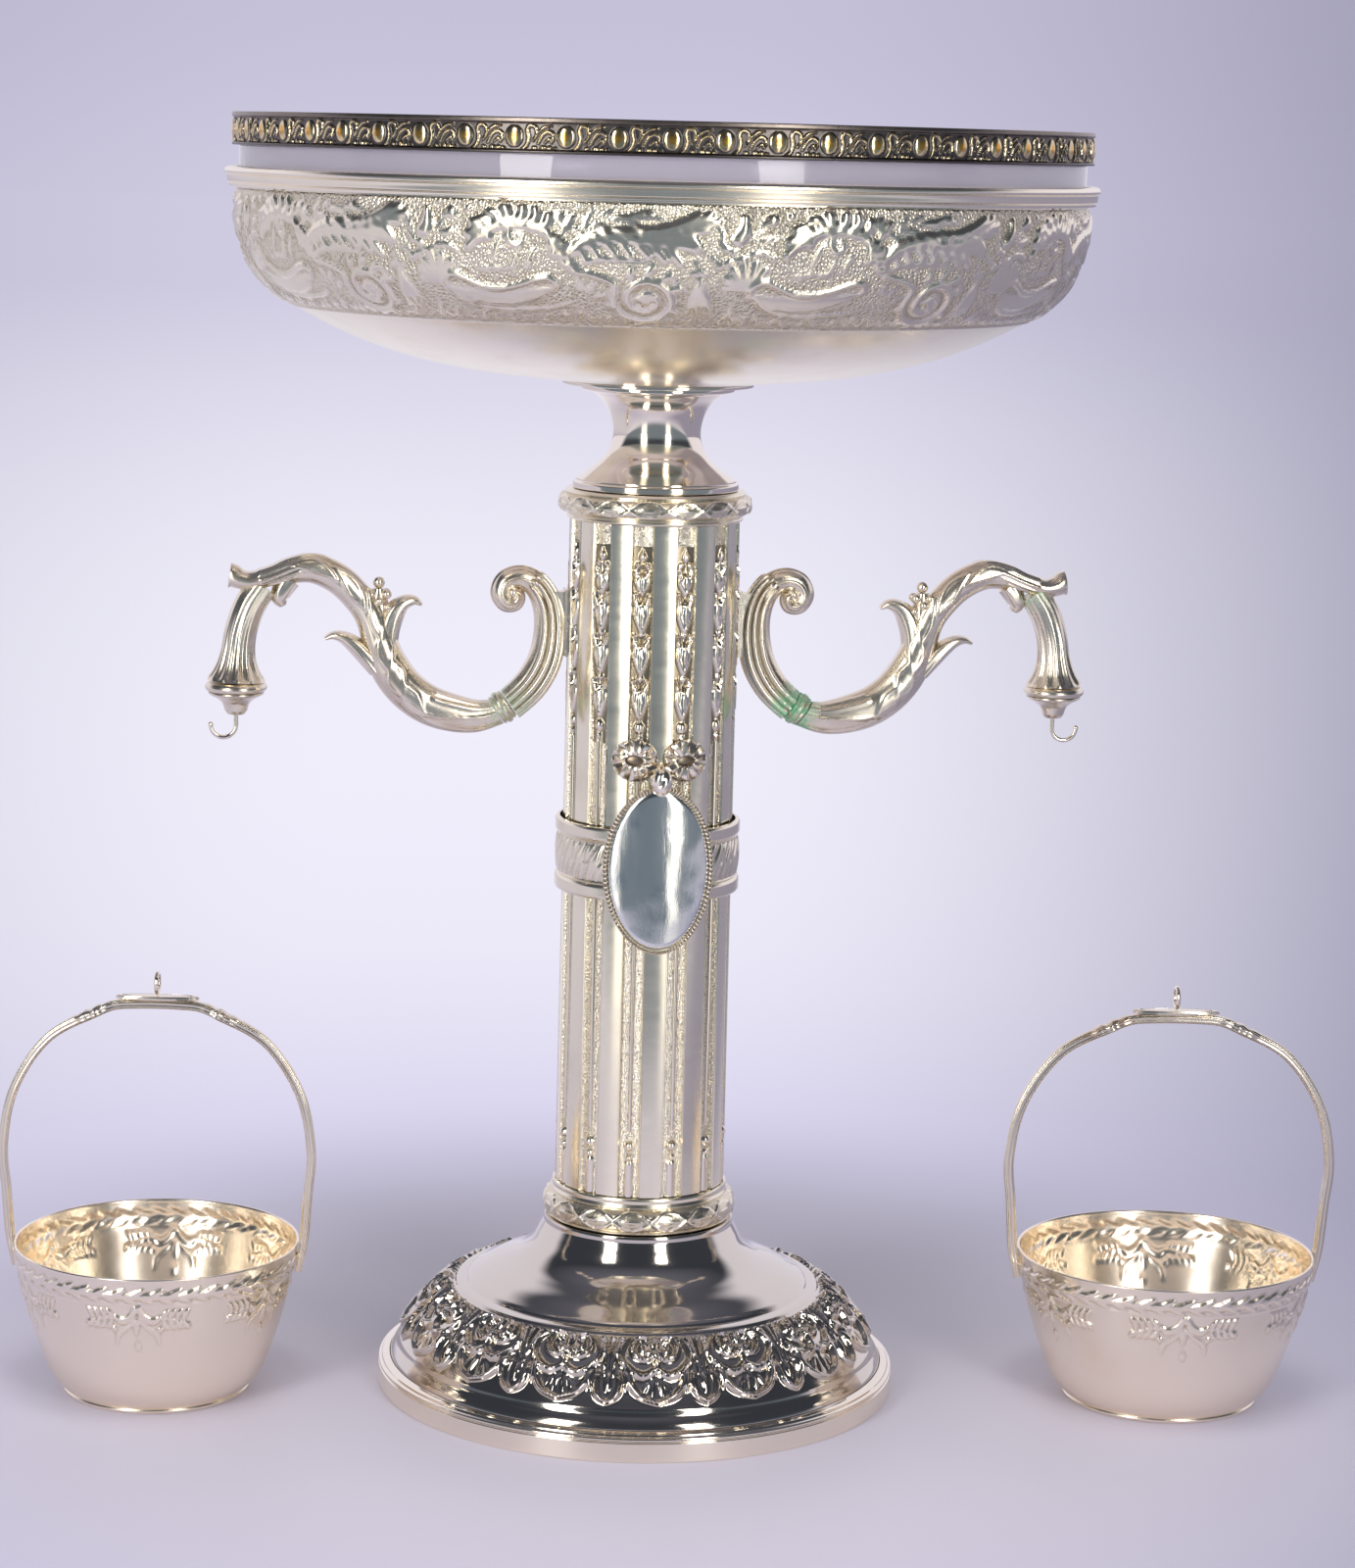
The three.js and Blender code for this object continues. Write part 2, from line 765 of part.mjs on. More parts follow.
function scroll(extra = 0) {
  const stem = ovalTube(scrollStations, 20, 8, extra);
  if (extra > 0) {
    return stem;
  }
  return joined(stem, egg(voluteCentre, 6.6, 5.2, 6.4, 10, 6));
}

function limb(extra = 0) {
  const stem = ovalTube(limbStations, 24, 8, extra);
  const leaves = Object.values(leafStations).map((stations) => ovalTube(stations, 4, 6, extra));
  return joined(stem, ...leaves);
}

function armCollar() {
  const half = armCollarLength / 2;
  const ring = turnedRing([
    [2.4, -half],
    [armCollarRadius - 0.6, -half],
    [armCollarRadius - 0.6, -1.6],
    [armCollarRadius, 0],
    [armCollarRadius - 0.6, 1.6],
    [armCollarRadius - 0.6, half],
    [2.4, half],
  ], smallSides);
  ring.rotateY(radians(90 + armCollarTilt));
  ring.translate(armCollarPlace.x, 0, armCollarPlace.z);
  return ring;
}

// The stem is trimmed square, a seat gap from the collar.
function trimmedAtCollar(stem, towardsTip) {
  const reach = 4 * armCollarRadius;
  const face = armCollarLength / 2 + seatGap;
  const slab = towardsTip
    ? block(-reach, face, -2 * armCollarRadius, 2 * armCollarRadius, -2 * armCollarRadius, 2 * armCollarRadius)
    : block(-face, reach, -2 * armCollarRadius, 2 * armCollarRadius, -2 * armCollarRadius, 2 * armCollarRadius);
  slab.rotateY(radians(armCollarTilt));
  slab.translate(armCollarPlace.x, 0, armCollarPlace.z);
  return cut(stem, slab);
}

function columnSideAt(height) {
  const share = (height - columnBottom) / columnHeight;
  return columnFootRadius + (columnTopRadius - columnFootRadius) * share;
}

// Lug: a plate on the column and a web that reaches the back of the scroll.
const armTop = columnBottom + columnHeight - armBelowColumnTop;
const lugBack = columnSideAt(armTop - armLugHeight) + seatGap;
const screwInset = 6;
const screwHeights = { upper: -screwInset, lower: screwInset - armLugHeight };

function armScrewHole(height, end) {
  const start = new THREE.Vector3(upperBore - 4, 0, height);
  return bar(start, new THREE.Vector3(end, 0, height), armScrewRadius + seatGap);
}

function lug() {
  const halfWidth = armLugWidth / 2;
  const halfWeb = armWebWidth / 2;
  const plate = block(lugBack, lugBack + armLugThickness, -halfWidth, halfWidth, -armLugHeight, 0);
  const web = block(lugBack + 0.5, lugBack + 9, -halfWeb, halfWeb, 1 - armLugHeight, -1);
  const holes = Object.values(screwHeights).map((height) => armScrewHole(height, lugBack + 2.4));
  return cut(joined(plate, web), scroll(seatGap), ...holes);
}

// Screws enter from inside the column and end in the lug.
function armScrew(height) {
  const seat = boreFlatAt(armTop + height) - seatGap;
  const back = new THREE.Vector3(seat - armScrewHeadHeight, 0, height);
  const shank = bar(back, new THREE.Vector3(lugBack + 2, 0, height), armScrewRadius);
  const head = bar(back, new THREE.Vector3(seat, 0, height), armScrewHeadRadius);
  return joined(shank, head);
}

// The tube is cut round the limb above it and square where it meets the cup.
function dropTube() {
  const end = cupTopHeight + seatGap;
  const reach = 2 * cupRadius;
  const below = block(dropAxis - reach, dropAxis + reach, -reach, reach, end - cupHeight, end);
  return cut(ovalTube(dropStations, 9, 10), limb(seatGap), below);
}

// Cup: turned in one piece, hollow above for the head of the hook's shank.
const shankHole = hookWireRadius + runningGap;
const shankHeadRadius = 2.2;
const cupFloor = cupTopHeight - 8.4;

function cup() {
  const z = cupTopHeight;
  const chamber = shankHeadRadius + runningGap + 0.6;
  const geometry = turnedRing([
    [chamber, z],
    [cupRadius - 1.4, z],
    [cupRadius, z - 2.6],
    [cupRadius - 1.4, z - 4.8],
    [cupRadius - 2.8, z - 6.4],
    [6.4, z - 9],
    [4.4, z - 13],
    [3.4, z - cupHeight],
    [shankHole, z - cupHeight],
    [shankHole, cupFloor],
    [chamber, cupFloor],
  ], smallSides);
  return geometry.translate(dropAxis, 0, 0);
}

// Hook: a headed wire shank, then a bend that opens away from the column.
function hook() {
  const bendCentreHeight = cupTopHeight - cupHeight - 4.4;
  const headBottom = cupFloor + runningGap;
  const rings = [];
  const sides = 6;
  const addRing = (centre, direction, radius) => {
    const out = new THREE.Vector3().crossVectors(direction, new THREE.Vector3(0, 1, 0));
    const ring = [];
    for (let j = 0; j < sides; j += 1) {
      const angle = 2 * Math.PI * j / sides;
      const point = centre.clone().addScaledVector(out, radius * Math.cos(angle));
      ring.push(point.add(new THREE.Vector3(0, radius * Math.sin(angle), 0)));
    }
    rings.push(ring);
  };
  const down = new THREE.Vector3(0, 0, -1);
  addRing(new THREE.Vector3(dropAxis, 0, headBottom + 1.4), down, shankHeadRadius);
  addRing(new THREE.Vector3(dropAxis, 0, headBottom), down, shankHeadRadius);
  addRing(new THREE.Vector3(dropAxis, 0, headBottom - 0.01), down, hookWireRadius);
  const steps = 14;
  for (let i = 0; i <= steps; i += 1) {
    const angle = Math.PI + radians(188) * i / steps;
    const centre = new THREE.Vector3(
      dropAxis + hookBendRadius + hookBendRadius * Math.cos(angle),
      0,
      bendCentreHeight + hookBendRadius * Math.sin(angle),
    );
    addRing(centre, new THREE.Vector3(-Math.sin(angle), 0, Math.cos(angle)), hookWireRadius);
  }
  return lofted(rings);
}

function arm(side) {
  const group = new THREE.Group();
  const name = (part) => `arm_${side}_${part}`;
  group.add(piece(name('lug'), lug(), 'castSilver'));
  group.add(piece(name('scroll'), trimmedAtCollar(scroll(), false), 'castSilver'));
  group.add(piece(name('collar'), armCollar(), 'castSilver'));
  group.add(piece(name('limb'), trimmedAtCollar(limb(), true), 'castSilver'));
  group.add(piece(name('drop_tube'), dropTube(), 'castSilver'));
  group.add(piece(name('cup'), cup(), 'castSilver'));
  group.add(piece(`hook_${side}`, hook(), 'silver'));
  for (const [place, height] of Object.entries(screwHeights)) {
    group.add(piece(name(`screw_${place}`), armScrew(height), 'brass'));
  }
  group.position.z = armTop;
  if (side === 'left') {
    group.rotation.z = Math.PI;
  }
  return group;
}

// Basket: a tapered sheet bowl, a strap handle soldered outside its rim, a plate and a ring.
function basketBowl() {
  const rim = basketRimRadius;
  const foot = basketFootRadius;
  const height = basketRimHeight;
  const flare = rim - foot;
  const outside = [
    [0, 0],
    [foot, 0],
    [foot, 2],
    [foot + flare * 0.35, height * 0.16],
    [foot + flare * 0.7, height * 0.4],
    [foot + flare * 0.92, height * 0.72],
    [rim, height],
  ];
  const inside = [
    [0, basketSheet],
    [foot - basketSheet, basketSheet],
    ...leftOf(outside.slice(2), basketSheet),
  ];
  return turned([...outside, ...inside.reverse()], basketSides);
}

function handleStations() {
  const end = basketRimRadius + seatGap + handleThickness / 2;
  const rise = handleTop - basketRimHeight;
  return [
    [-end + 0.4, basketRimHeight - 13],
    [-end, basketRimHeight - 1],
    [-handleReach * 0.98, basketRimHeight + rise * 0.2],
    [-handleReach, basketRimHeight + rise * 0.38],
    [-handleReach * 0.925, basketRimHeight + rise * 0.62],
    [-handleReach * 0.7, basketRimHeight + rise * 0.84],
    [-handleReach * 0.37, handleTop - 3.6],
    [0, handleTop - handleThickness / 2],
  ];
}

function basketHandle() {
  const half = handleStations();
  const whole = [...half, ...half.slice(0, -1).reverse().map(([x, z]) => [-x, z])];
  const sized = whole.map(([x, z]) => [x, z, handleThickness / 2, handleWidth / 2]);
  return ovalTube(sized, 26, 6);
}

function handlePlate() {
  const bottom = handleTop + seatGap;
  const shape = new THREE.Shape();
  shape.absellipse(0, 0, handlePlateLength / 2, handleWidth * 0.75, 0, 2 * Math.PI);
  const settings = { depth: handlePlateThickness, bevelEnabled: false, curveSegments: 12 };
  return closed(new THREE.ExtrudeGeometry(shape, settings).translate(0, 0, bottom));
}

function basketRing() {
  const middle = handleTop + seatGap + handlePlateThickness + seatGap + ringWireRadius + ringRadius;
  const ring = new THREE.TorusGeometry(ringRadius, ringWireRadius, 6, 14);
  ring.rotateY(Math.PI / 2);
  return closed(ring.translate(0, 0, middle));
}

function basket({ name, place, turn, spread }) {
  const group = new THREE.Group();
  group.add(piece(`${name}_bowl`, basketBowl(), 'silver'));
  group.add(piece(`${name}_handle`, basketHandle(), 'castSilver'));
  group.add(piece(`${name}_handle_plate`, handlePlate(), 'castSilver'));
  group.add(piece(`${name}_ring`, basketRing(), 'silver'));
  group.scale.x = spread;
  group.rotation.z = radians(turn);
  group.position.copy(place);
  return group;
}

function columnHoles() {
  const sides = [1, -1];
  const armHoles = sides.flatMap((side) => Object.values(screwHeights).map((height) => {
    const hole = armScrewHole(armTop + height, columnFootRadius + 3);
    return side > 0 ? hole : hole.rotateZ(Math.PI);
  }));
  return [studHole(), ...armHoles];
}

const stand = new THREE.Group();
stand.add(piece('base_plate', closingPlate(), 'brass'));
stand.add(piece('base_rim_band', footBand(), 'silver'));
stand.add(piece('base_dome', footDome(), 'silver'));
stand.add(piece('base_washer', washer(footWasherBottom), 'brass'));
stand.add(piece('base_nut', nut(footNutBottom), 'brass'));
stand.add(piece('tie_rod', rod(), 'steel'));
stand.add(piece('lower_collar', lowerCollar(), 'chasedSilver'));
stand.add(piece('column', column(columnHoles()), 'silver'));
stand.add(piece('upper_collar', upperCollar(), 'chasedSilver'));
stand.add(piece('neck', neck(), 'silver'));
stand.add(piece('bowl_seat_disc', seatDisc(), 'silver'));
stand.add(piece('bowl', bowl(), 'chasedSilver'));
stand.add(piece('bowl_rim', bowlRim(), 'silver'));
stand.add(piece('bowl_washer', washer(bowlWasherBottom), 'brass'));
stand.add(piece('bowl_nut', nut(bowlNutBottom), 'brass'));
stand.add(piece('belt', belt(), 'chasedSilver'));
stand.add(piece('medallion', medallion(), 'silver'));
stand.add(piece('medallion_border', medallionBorder(), 'silver'));
stand.add(piece('bow', bow(), 'castSilver'));
stand.add(piece('medallion_stud', stud(), 'brass'));
stand.add(piece('medallion_nut', studNut(), 'brass'));
stand.add(arm('left'));
stand.add(arm('right'));

const lining = new THREE.Group();
lining.add(piece('liner', liner(), 'glass'));
lining.add(piece('liner_rim', gallery(), 'giltGallery'));

const centrepiece = new THREE.Group();
centrepiece.add(stand, lining, ...baskets.map(basket));

export default centrepiece;
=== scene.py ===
import math
import bpy
import numpy as np
from mathutils import Matrix, Vector


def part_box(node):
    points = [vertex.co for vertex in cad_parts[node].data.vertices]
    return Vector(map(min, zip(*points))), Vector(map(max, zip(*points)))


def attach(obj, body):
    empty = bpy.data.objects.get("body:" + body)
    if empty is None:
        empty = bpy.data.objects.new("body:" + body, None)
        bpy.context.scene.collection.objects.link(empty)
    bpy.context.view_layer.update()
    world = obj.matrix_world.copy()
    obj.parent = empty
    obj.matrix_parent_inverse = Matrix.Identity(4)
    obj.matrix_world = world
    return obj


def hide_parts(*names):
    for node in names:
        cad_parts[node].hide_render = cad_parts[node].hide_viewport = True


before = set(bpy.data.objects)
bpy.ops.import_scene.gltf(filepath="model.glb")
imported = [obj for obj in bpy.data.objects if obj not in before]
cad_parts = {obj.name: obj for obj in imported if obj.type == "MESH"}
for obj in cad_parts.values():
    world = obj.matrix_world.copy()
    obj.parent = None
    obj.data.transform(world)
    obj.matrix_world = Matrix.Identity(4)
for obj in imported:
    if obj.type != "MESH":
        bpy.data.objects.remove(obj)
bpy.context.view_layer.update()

# The silver fruit bowl: turned shells, cast arms, chased ornament. Lengths in millimetres
# until a mesh is written, which is in metres.
mm = 0.001
rodBore = 3.3   # radius of the tie rod's hole in the pieces that it clamps
scene = bpy.context.scene


def say(stage):
    print("stage:", stage, flush=True)


# Small geometry that every piece uses
def circle(steps):
    # angles of equal steps round a ring
    return np.arange(steps) * 2 * math.pi / steps


def runOf(path):
    # length along a path at each of its points
    return np.concatenate([[0], np.cumsum(np.linalg.norm(np.diff(path, axis=0), axis=1))])


def flowOf(path):
    # direction of a path at each of its points
    flow = np.gradient(np.asarray(path, float), axis=0)
    return flow / (np.linalg.norm(flow, axis=1)[:, None] + 1e-12)


def spun(x, y, turn):
    # a place turned about the vertical axis
    return x * math.cos(turn) - y * math.sin(turn), x * math.sin(turn) + y * math.cos(turn)


# Camera: the photograph's own view
shot = {
    "eye": (-210.7, -1587.5, 530.9),
    "heading": 8.0,      # degrees from +Y towards +X
    "pitch": 9.538,      # downwards
    "roll": 1.45,        # the picture's top leans right
    "focalPixels": 3908,
    "imageHeight": 1600,
    "sensor": 36.0,
}


def makeCamera():
    heading, pitch, roll = (math.radians(shot[k]) for k in ("heading", "pitch", "roll"))
    flat = Vector((math.sin(heading), math.cos(heading), 0))
    forward = flat * math.cos(pitch) + Vector((0, 0, -math.sin(pitch)))
    right = Vector((math.cos(heading), -math.sin(heading), 0))
    up = right.cross(forward)
    sideways = right * math.cos(roll) + up * math.sin(roll)
    upwards = up * math.cos(roll) - right * math.sin(roll)
    camera = bpy.data.cameras.new("camera")
    camera.lens = shot["sensor"] * shot["focalPixels"] / shot["imageHeight"]
    camera.sensor_width = shot["sensor"]
    camera.clip_end = 100
    holder = bpy.data.objects.new("camera", camera)
    turn = Matrix((sideways, upwards, -forward)).transposed().to_4x4()
    holder.matrix_world = Matrix.Translation(Vector(shot["eye"]) * mm) @ turn
    scene.collection.objects.link(holder)
    scene.camera = holder


makeCamera()
scene.view_settings.view_transform = "Standard"
say("camera")


# Shader maths: a socket with arithmetic, and a bench that makes nodes in one tree
def linear(colour):
    return tuple(((c / 255 + 0.055) / 1.055) ** 2.4 if c > 10 else c / 255 / 12.92 for c in colour) + (1,)


class Wire:
    def __init__(self, bench, socket):
        self.bench = bench
        self.socket = socket

    def maths(self, operation, *others):
        return self.bench.node("ShaderNodeMath", {"operation": operation}, dict(enumerate((self,) + others)))

    def __add__(self, other):
        return self.maths("ADD", other)

    def __mul__(self, other):
        return self.maths("MULTIPLY", other)

    def __sub__(self, other):
        return self.maths("SUBTRACT", other)

    def __rsub__(self, other):
        return (self * -1) + other

    def __truediv__(self, other):
        return self.maths("DIVIDE", other)

    __radd__ = __add__
    __rmul__ = __mul__

    def between(self, low, high):
        settings = {"interpolation_type": "SMOOTHSTEP"}
        inputs = {"Value": self, "From Min": low, "From Max": high}
        return self.bench.node("ShaderNodeMapRange", settings, inputs)


class Bench:
    def __init__(self, tree):
        self.tree = tree

    def node(self, kind, settings=None, inputs=None, output=0):
        made = self.tree.nodes.new(kind)
        for key, value in (settings or {}).items():
            if key == "stops":
                ramp = made.color_ramp
                while len(ramp.elements) < len(value):
                    ramp.elements.new(0.5)
                for stop, (place, colour) in zip(ramp.elements, value):
                    stop.position = place
                    stop.color = colour
            else:
                setattr(made, key, value)
        for key, value in (inputs or {}).items():
            if isinstance(value, Wire):
                self.tree.links.new(value.socket, made.inputs[key])
            else:
                made.inputs[key].default_value = value
        return Wire(self, made.outputs[output] if len(made.outputs) else None)

    def mix(self, amount, first, second, blend="MIX"):
        # sockets 0, 6, 7 and output 2 are the colour side of the Mix node
        return self.node("ShaderNodeMix", {"data_type": "RGBA", "blend_type": blend},
                         {0: amount, 6: first, 7: second}, 2)

    def objectPlace(self):
        return self.node("ShaderNodeTexCoord", {}, {}, "Object")

    def noise(self, place, scale, detail=3.0, roughness=0.5):
        return self.node("ShaderNodeTexNoise", {},
                         {"Vector": place, "Scale": scale, "Detail": detail, "Roughness": roughness})

    def attribute(self, name):
        return self.node("ShaderNodeAttribute", {"attribute_name": name}, {}, "Fac")

    def bump(self, height, strength, distance, normal=None):
        inputs = {"Height": height, "Strength": strength, "Distance": distance}
        if normal is not None:
            inputs["Normal"] = normal
        return self.node("ShaderNodeBump", {}, inputs)


def newMaterial(name):
    material = bpy.data.materials.new(name)
    material.use_nodes = True
    material.node_tree.nodes.clear()
    return material, Bench(material.node_tree)


def finishMaterial(bench, shader):
    bench.node("ShaderNodeOutputMaterial", {}, {"Surface": shader})


def finishMetal(bench, colour, rough, normal, purity=1.0):
    finishMaterial(bench, bench.node("ShaderNodeBsdfPrincipled", {}, {
        "Base Color": colour, "Metallic": purity, "Roughness": rough, "Normal": normal}))


# Polished and chased silver. `recess` is 1 in the hollows of chased work, painted darker there:
# partly tarnish, partly painted shade.
def silverMaterial(name, look):
    material, bench = newMaterial(name)
    place = bench.objectPlace()
    cloud = bench.noise(place, look["cloudScale"], 4.0, 0.6)
    stretched = bench.node("ShaderNodeMapping", {}, {"Vector": place, "Scale": look["rubbing"]})
    rubbed = bench.noise(stretched, 60.0, 5.0, 0.65)
    hollow = bench.attribute("recess").between(0.1, 0.95)
    stain = cloud.between(0.52, 0.75) * look["stain"]
    metal = bench.mix(stain, linear(look["colour"]), linear(look["stainColour"]))
    # painted shade and tarnish: the hollows are mixed towards the darker hollow colour
    metal = bench.mix(hollow * look["tarnish"], metal, linear(look["hollowColour"]))
    rough = look["roughness"] + (rubbed - 0.5) * look["rubRough"] + hollow * look["hollowRough"]
    purity = 1.0
    if "verdigris" in look:
        green = bench.attribute("verdigris") * bench.noise(place, 420.0, 4.0, 0.7).between(0.35, 0.6)
        metal = bench.mix(green * look["verdigris"], metal, linear(look["verdigrisColour"]))
        rough = rough + green * 0.35
        purity = 1.0 - green * 0.85
    if "groundRough" in look:
        rough = rough + bench.attribute("ground") * look["groundRough"]
    grain = bench.bump(rubbed, look["rubBump"], 0.0004)
    grain = bench.bump(bench.noise(place, look["dentScale"], 1.0), look["dents"], 0.004, grain)
    if "stipple" in look:
        cells = bench.node("ShaderNodeTexVoronoi", {"feature": "F1"},
                           {"Vector": place, "Scale": look["stippleScale"]})
        ground = bench.attribute("ground")
        grain = bench.bump(cells * (ground * look["stipple"]), 1.0, 0.001, grain)
        # painted shade and tarnish: the stipple's pits are mixed towards the hollow colour
        pits = (cells * -1).between(-0.45, -0.05) * ground
        metal = bench.mix(pits * look["stipple"], metal, linear(look["hollowColour"]))
    finishMetal(bench, metal, rough, grain, purity)
    return material


# What each silver finish changes in the plain one
plainLook = {
    "colour": (250, 240, 224), "stainColour": (222, 208, 184), "hollowColour": (158, 144, 116),
    "cloudScale": 14.0, "stain": 0.25, "tarnish": 0.75, "rubbing": (1.0, 1.0, 4.0), "roughness": 0.1,
    "rubRough": 0.1, "hollowRough": 0.15, "rubBump": 0.03, "dents": 0.05, "dentScale": 30.0,
}
looks = {
    "silver": {},
    "polished": {
        "colour": (222, 214, 204), "hollowColour": (176, 158, 120), "tarnish": 0.6, "roughness": 0.09,
        "rubRough": 0.08, "dents": 0.02},
    "wornMirror": {
        "colour": (238, 238, 232), "stainColour": (196, 204, 212), "stain": 0.7, "cloudScale": 70.0,
        "roughness": 0.15, "rubRough": 0.26, "rubBump": 0.35, "rubbing": (3.0, 3.0, 0.6), "dents": 0.3,
        "dentScale": 40.0},
    "castSilver": {
        "colour": (243, 233, 215), "stainColour": (214, 192, 170), "stain": 0.5, "cloudScale": 34.0,
        "roughness": 0.26, "rubRough": 0.14, "hollowColour": (122, 106, 78), "tarnish": 0.8, "rubBump": 0.05,
        "verdigris": 0.85, "verdigrisColour": (58, 178, 126), "dentScale": 60.0},
    "lipSilver": {
        "colour": (255, 245, 226), "stainColour": (236, 220, 190), "stain": 0.4, "cloudScale": 30.0,
        "roughness": 0.24, "hollowColour": (132, 112, 84)},
    "chasedSilver": {
        "colour": (248, 239, 219), "stain": 0.3, "cloudScale": 30.0, "roughness": 0.22, "groundRough": 0.12,
        "hollowColour": (180, 160, 118), "tarnish": 0.8, "rubBump": 0.04, "dents": 0.03, "stipple": 0.6,
        "stippleScale": 800.0},
    "dropSilver": {
        "colour": (250, 240, 222), "hollowColour": (140, 122, 88), "tarnish": 0.85, "roughness": 0.12,
        "cloudScale": 40.0},
    "columnSilver": {
        "colour": (255, 246, 224), "stipple": 0.3, "stippleScale": 1300.0, "hollowColour": (196, 184, 158),
        "tarnish": 0.6, "roughness": 0.19, "rubRough": 0.2, "stain": 0.3, "cloudScale": 22.0, "dents": 0.08},
    "bowSilver": {
        "colour": (255, 246, 230), "roughness": 0.17, "hollowColour": (112, 90, 62), "tarnish": 0.8,
        "cloudScale": 40.0},
    "basketSilver": {
        "colour": (255, 243, 225), "stainColour": (244, 218, 186), "stain": 0.45, "cloudScale": 16.0,
        "roughness": 0.24, "dents": 0.08, "hollowColour": (170, 150, 112), "tarnish": 0.8},
    "basketCast": {
        "colour": (242, 232, 214), "stainColour": (214, 180, 150), "stain": 0.6, "cloudScale": 40.0,
        "roughness": 0.2, "hollowColour": (150, 126, 92), "tarnish": 0.85, "dents": 0.04, "dentScale": 60.0},
}
finishes = {name: silverMaterial(name, plainLook | look) for name, look in looks.items()}


# The gallery strip: dark oxidised ground with gold left on the raised work
def galleryMaterial():
    look = {"ground": (104, 98, 94), "gold": (250, 226, 172), "worn": (214, 196, 162), "lip": (134, 124, 116),
            "stone": (232, 178, 92), "roughness": 0.3, "goldSmooth": 0.14, "patchRough": 0.16}
    material, bench = newMaterial("giltGallery")
    patch = bench.noise(bench.objectPlace(), 260.0, 4.0, 0.6)
    rise = bench.attribute("rise")
    gold = rise.between(0.3, 0.7)
    colour = bench.mix(patch.between(0.35, 0.7), linear(look["worn"]), linear(look["gold"]))
    colour = bench.mix(gold, linear(look["ground"]), colour)
    colour = bench.mix(rise.between(1.08, 1.16), colour, linear(look["stone"]))
    colour = bench.mix((rise * -1).between(0.5, 0.8), colour, linear(look["lip"]))
    rough = look["roughness"] - gold * look["goldSmooth"] + (patch - 0.5) * look["patchRough"]
    finishMetal(bench, colour, rough, bench.bump(patch, 0.25, 0.0003))
    return material


# Clear glass with a faint lavender cast
def glassMaterial():
    look = {"colour": (224, 219, 232), "refraction": 1.5, "clear": 0.5, "smear": 0.06, "smooth": 0.02}
    material, bench = newMaterial("linerGlass")
    place = bench.objectPlace()
    waves = bench.noise(place, 18.0, 2.0, 0.5)
    smear = bench.noise(place, 90.0, 4.0, 0.6).between(0.5, 0.8) * look["smear"] + look["smooth"]
    finishMaterial(bench, bench.node("ShaderNodeBsdfPrincipled", {}, {
        "Base Color": linear(look["colour"]), "Metallic": 0.0, "Roughness": smear, "IOR": look["refraction"],
        "Transmission Weight": look["clear"], "Normal": bench.bump(waves, 0.08, 0.002)}))
    return material


def fittingMaterial(name, colour, dark, roughness):
    material, bench = newMaterial(name)
    patch = bench.noise(bench.objectPlace(), 300.0, 5.0, 0.65)
    tone = bench.mix(patch.between(0.4, 0.7), linear(colour), linear(dark))
    finishMetal(bench, tone, patch * 0.3 + roughness, bench.bump(patch, 0.2, 0.0003))
    return material


finishes["gilt"] = galleryMaterial()
finishes["glass"] = glassMaterial()
finishes["brass"] = fittingMaterial("brassFittings", (188, 152, 88), (120, 92, 50), 0.22)
finishes["steel"] = fittingMaterial("steelRod", (150, 152, 156), (92, 86, 80), 0.3)
say("materials")


# Setting: pale floor that runs on into the backdrop, a dim room behind the camera with two tall lamps
setting = {
    "floorColour": (222, 216, 232),
    "floorRough": 0.55,
    "floorSize": 60.0,
    "rampStart": 0.15,             # metres from the axis at the backdrop's first stop
    "rampDecades": 1.9,            # tenfold steps of distance from its first stop to its last
    "litRadius": (0.16, 0.5),      # metres: inside is lit floor, outside is plain backdrop
    "tableEnd": (0.46, 0.78),      # metres towards the camera, where reflections lose the paper
    "backdrop": [(0.0, (162, 158, 175)), (0.2, (206, 202, 228)), (0.4, (235, 232, 248)),
                 (0.7, (236, 234, 247)), (1.0, (208, 204, 226))],
    "horizon": (208, 204, 226),
    "sky": (197, 193, 216),
    "wall": (236, 233, 246),       # what polished faces see of the backdrop
    "room": [(0.5, (116, 127, 140)), (0.6, (60, 66, 76)), (0.84, (58, 62, 72)), (0.97, (104, 106, 120))],
    "tableGone": (116, 127, 140),
    "dimRight": 1.15,
    "dimLeft": 0.4,
    "dimTone": (150, 148, 172),
    "lampGlow": (1.5, 1.45, 1.4, 1),
    "skyFill": (0.92, 0.94, 1.0, 1),
    "diffuseSky": 0.42,
    "dimEnd": (0.15, 0.75),        # metres towards the camera, over which the floor's dimming ends
    "aimHeight": 0.26,             # metres: what the lamps point at, on the axis
}

# Azimuths in degrees from -Y, positive towards +X; the camera stands at -7.6. Distance, height and size are
# in metres. The half angle says how wide a tall lamp looks in its painted glowing strip on the floor,
# where it goes on down past the table's edge.
lamps = {
    "leftLamp": {"azimuth": -42.0, "halfAngle": 6.8, "distance": 1.9, "height": 0.76, "size": (0.45, 1.3),
                 "power": 13.5, "colour": (1.0, 0.98, 0.95)},
    "rightLamp": {"azimuth": 22.0, "halfAngle": 6.0, "distance": 1.9, "height": 0.76, "size": (0.4, 1.3),
                  "power": 10.8, "colour": (1.0, 0.98, 0.95)},
    "topLamp": {"azimuth": -7.6, "distance": 0.38, "height": 1.7, "size": (0.7, 0.7), "power": 9.0,
                "colour": (1.0, 1.0, 1.0)},
}
heading = math.radians(shot["heading"])
towards = (-math.sin(heading), -math.cos(heading), 0.0)   # from the object to the camera
rightwards = (math.cos(heading), -math.sin(heading), 0.0)


def along(bench, place, way):
    return bench.node("ShaderNodeVectorMath", {"operation": "DOT_PRODUCT"}, {0: place, 1: way}, "Value")


def rays(bench, kind):
    return bench.node("ShaderNodeLightPath", {}, {}, kind)


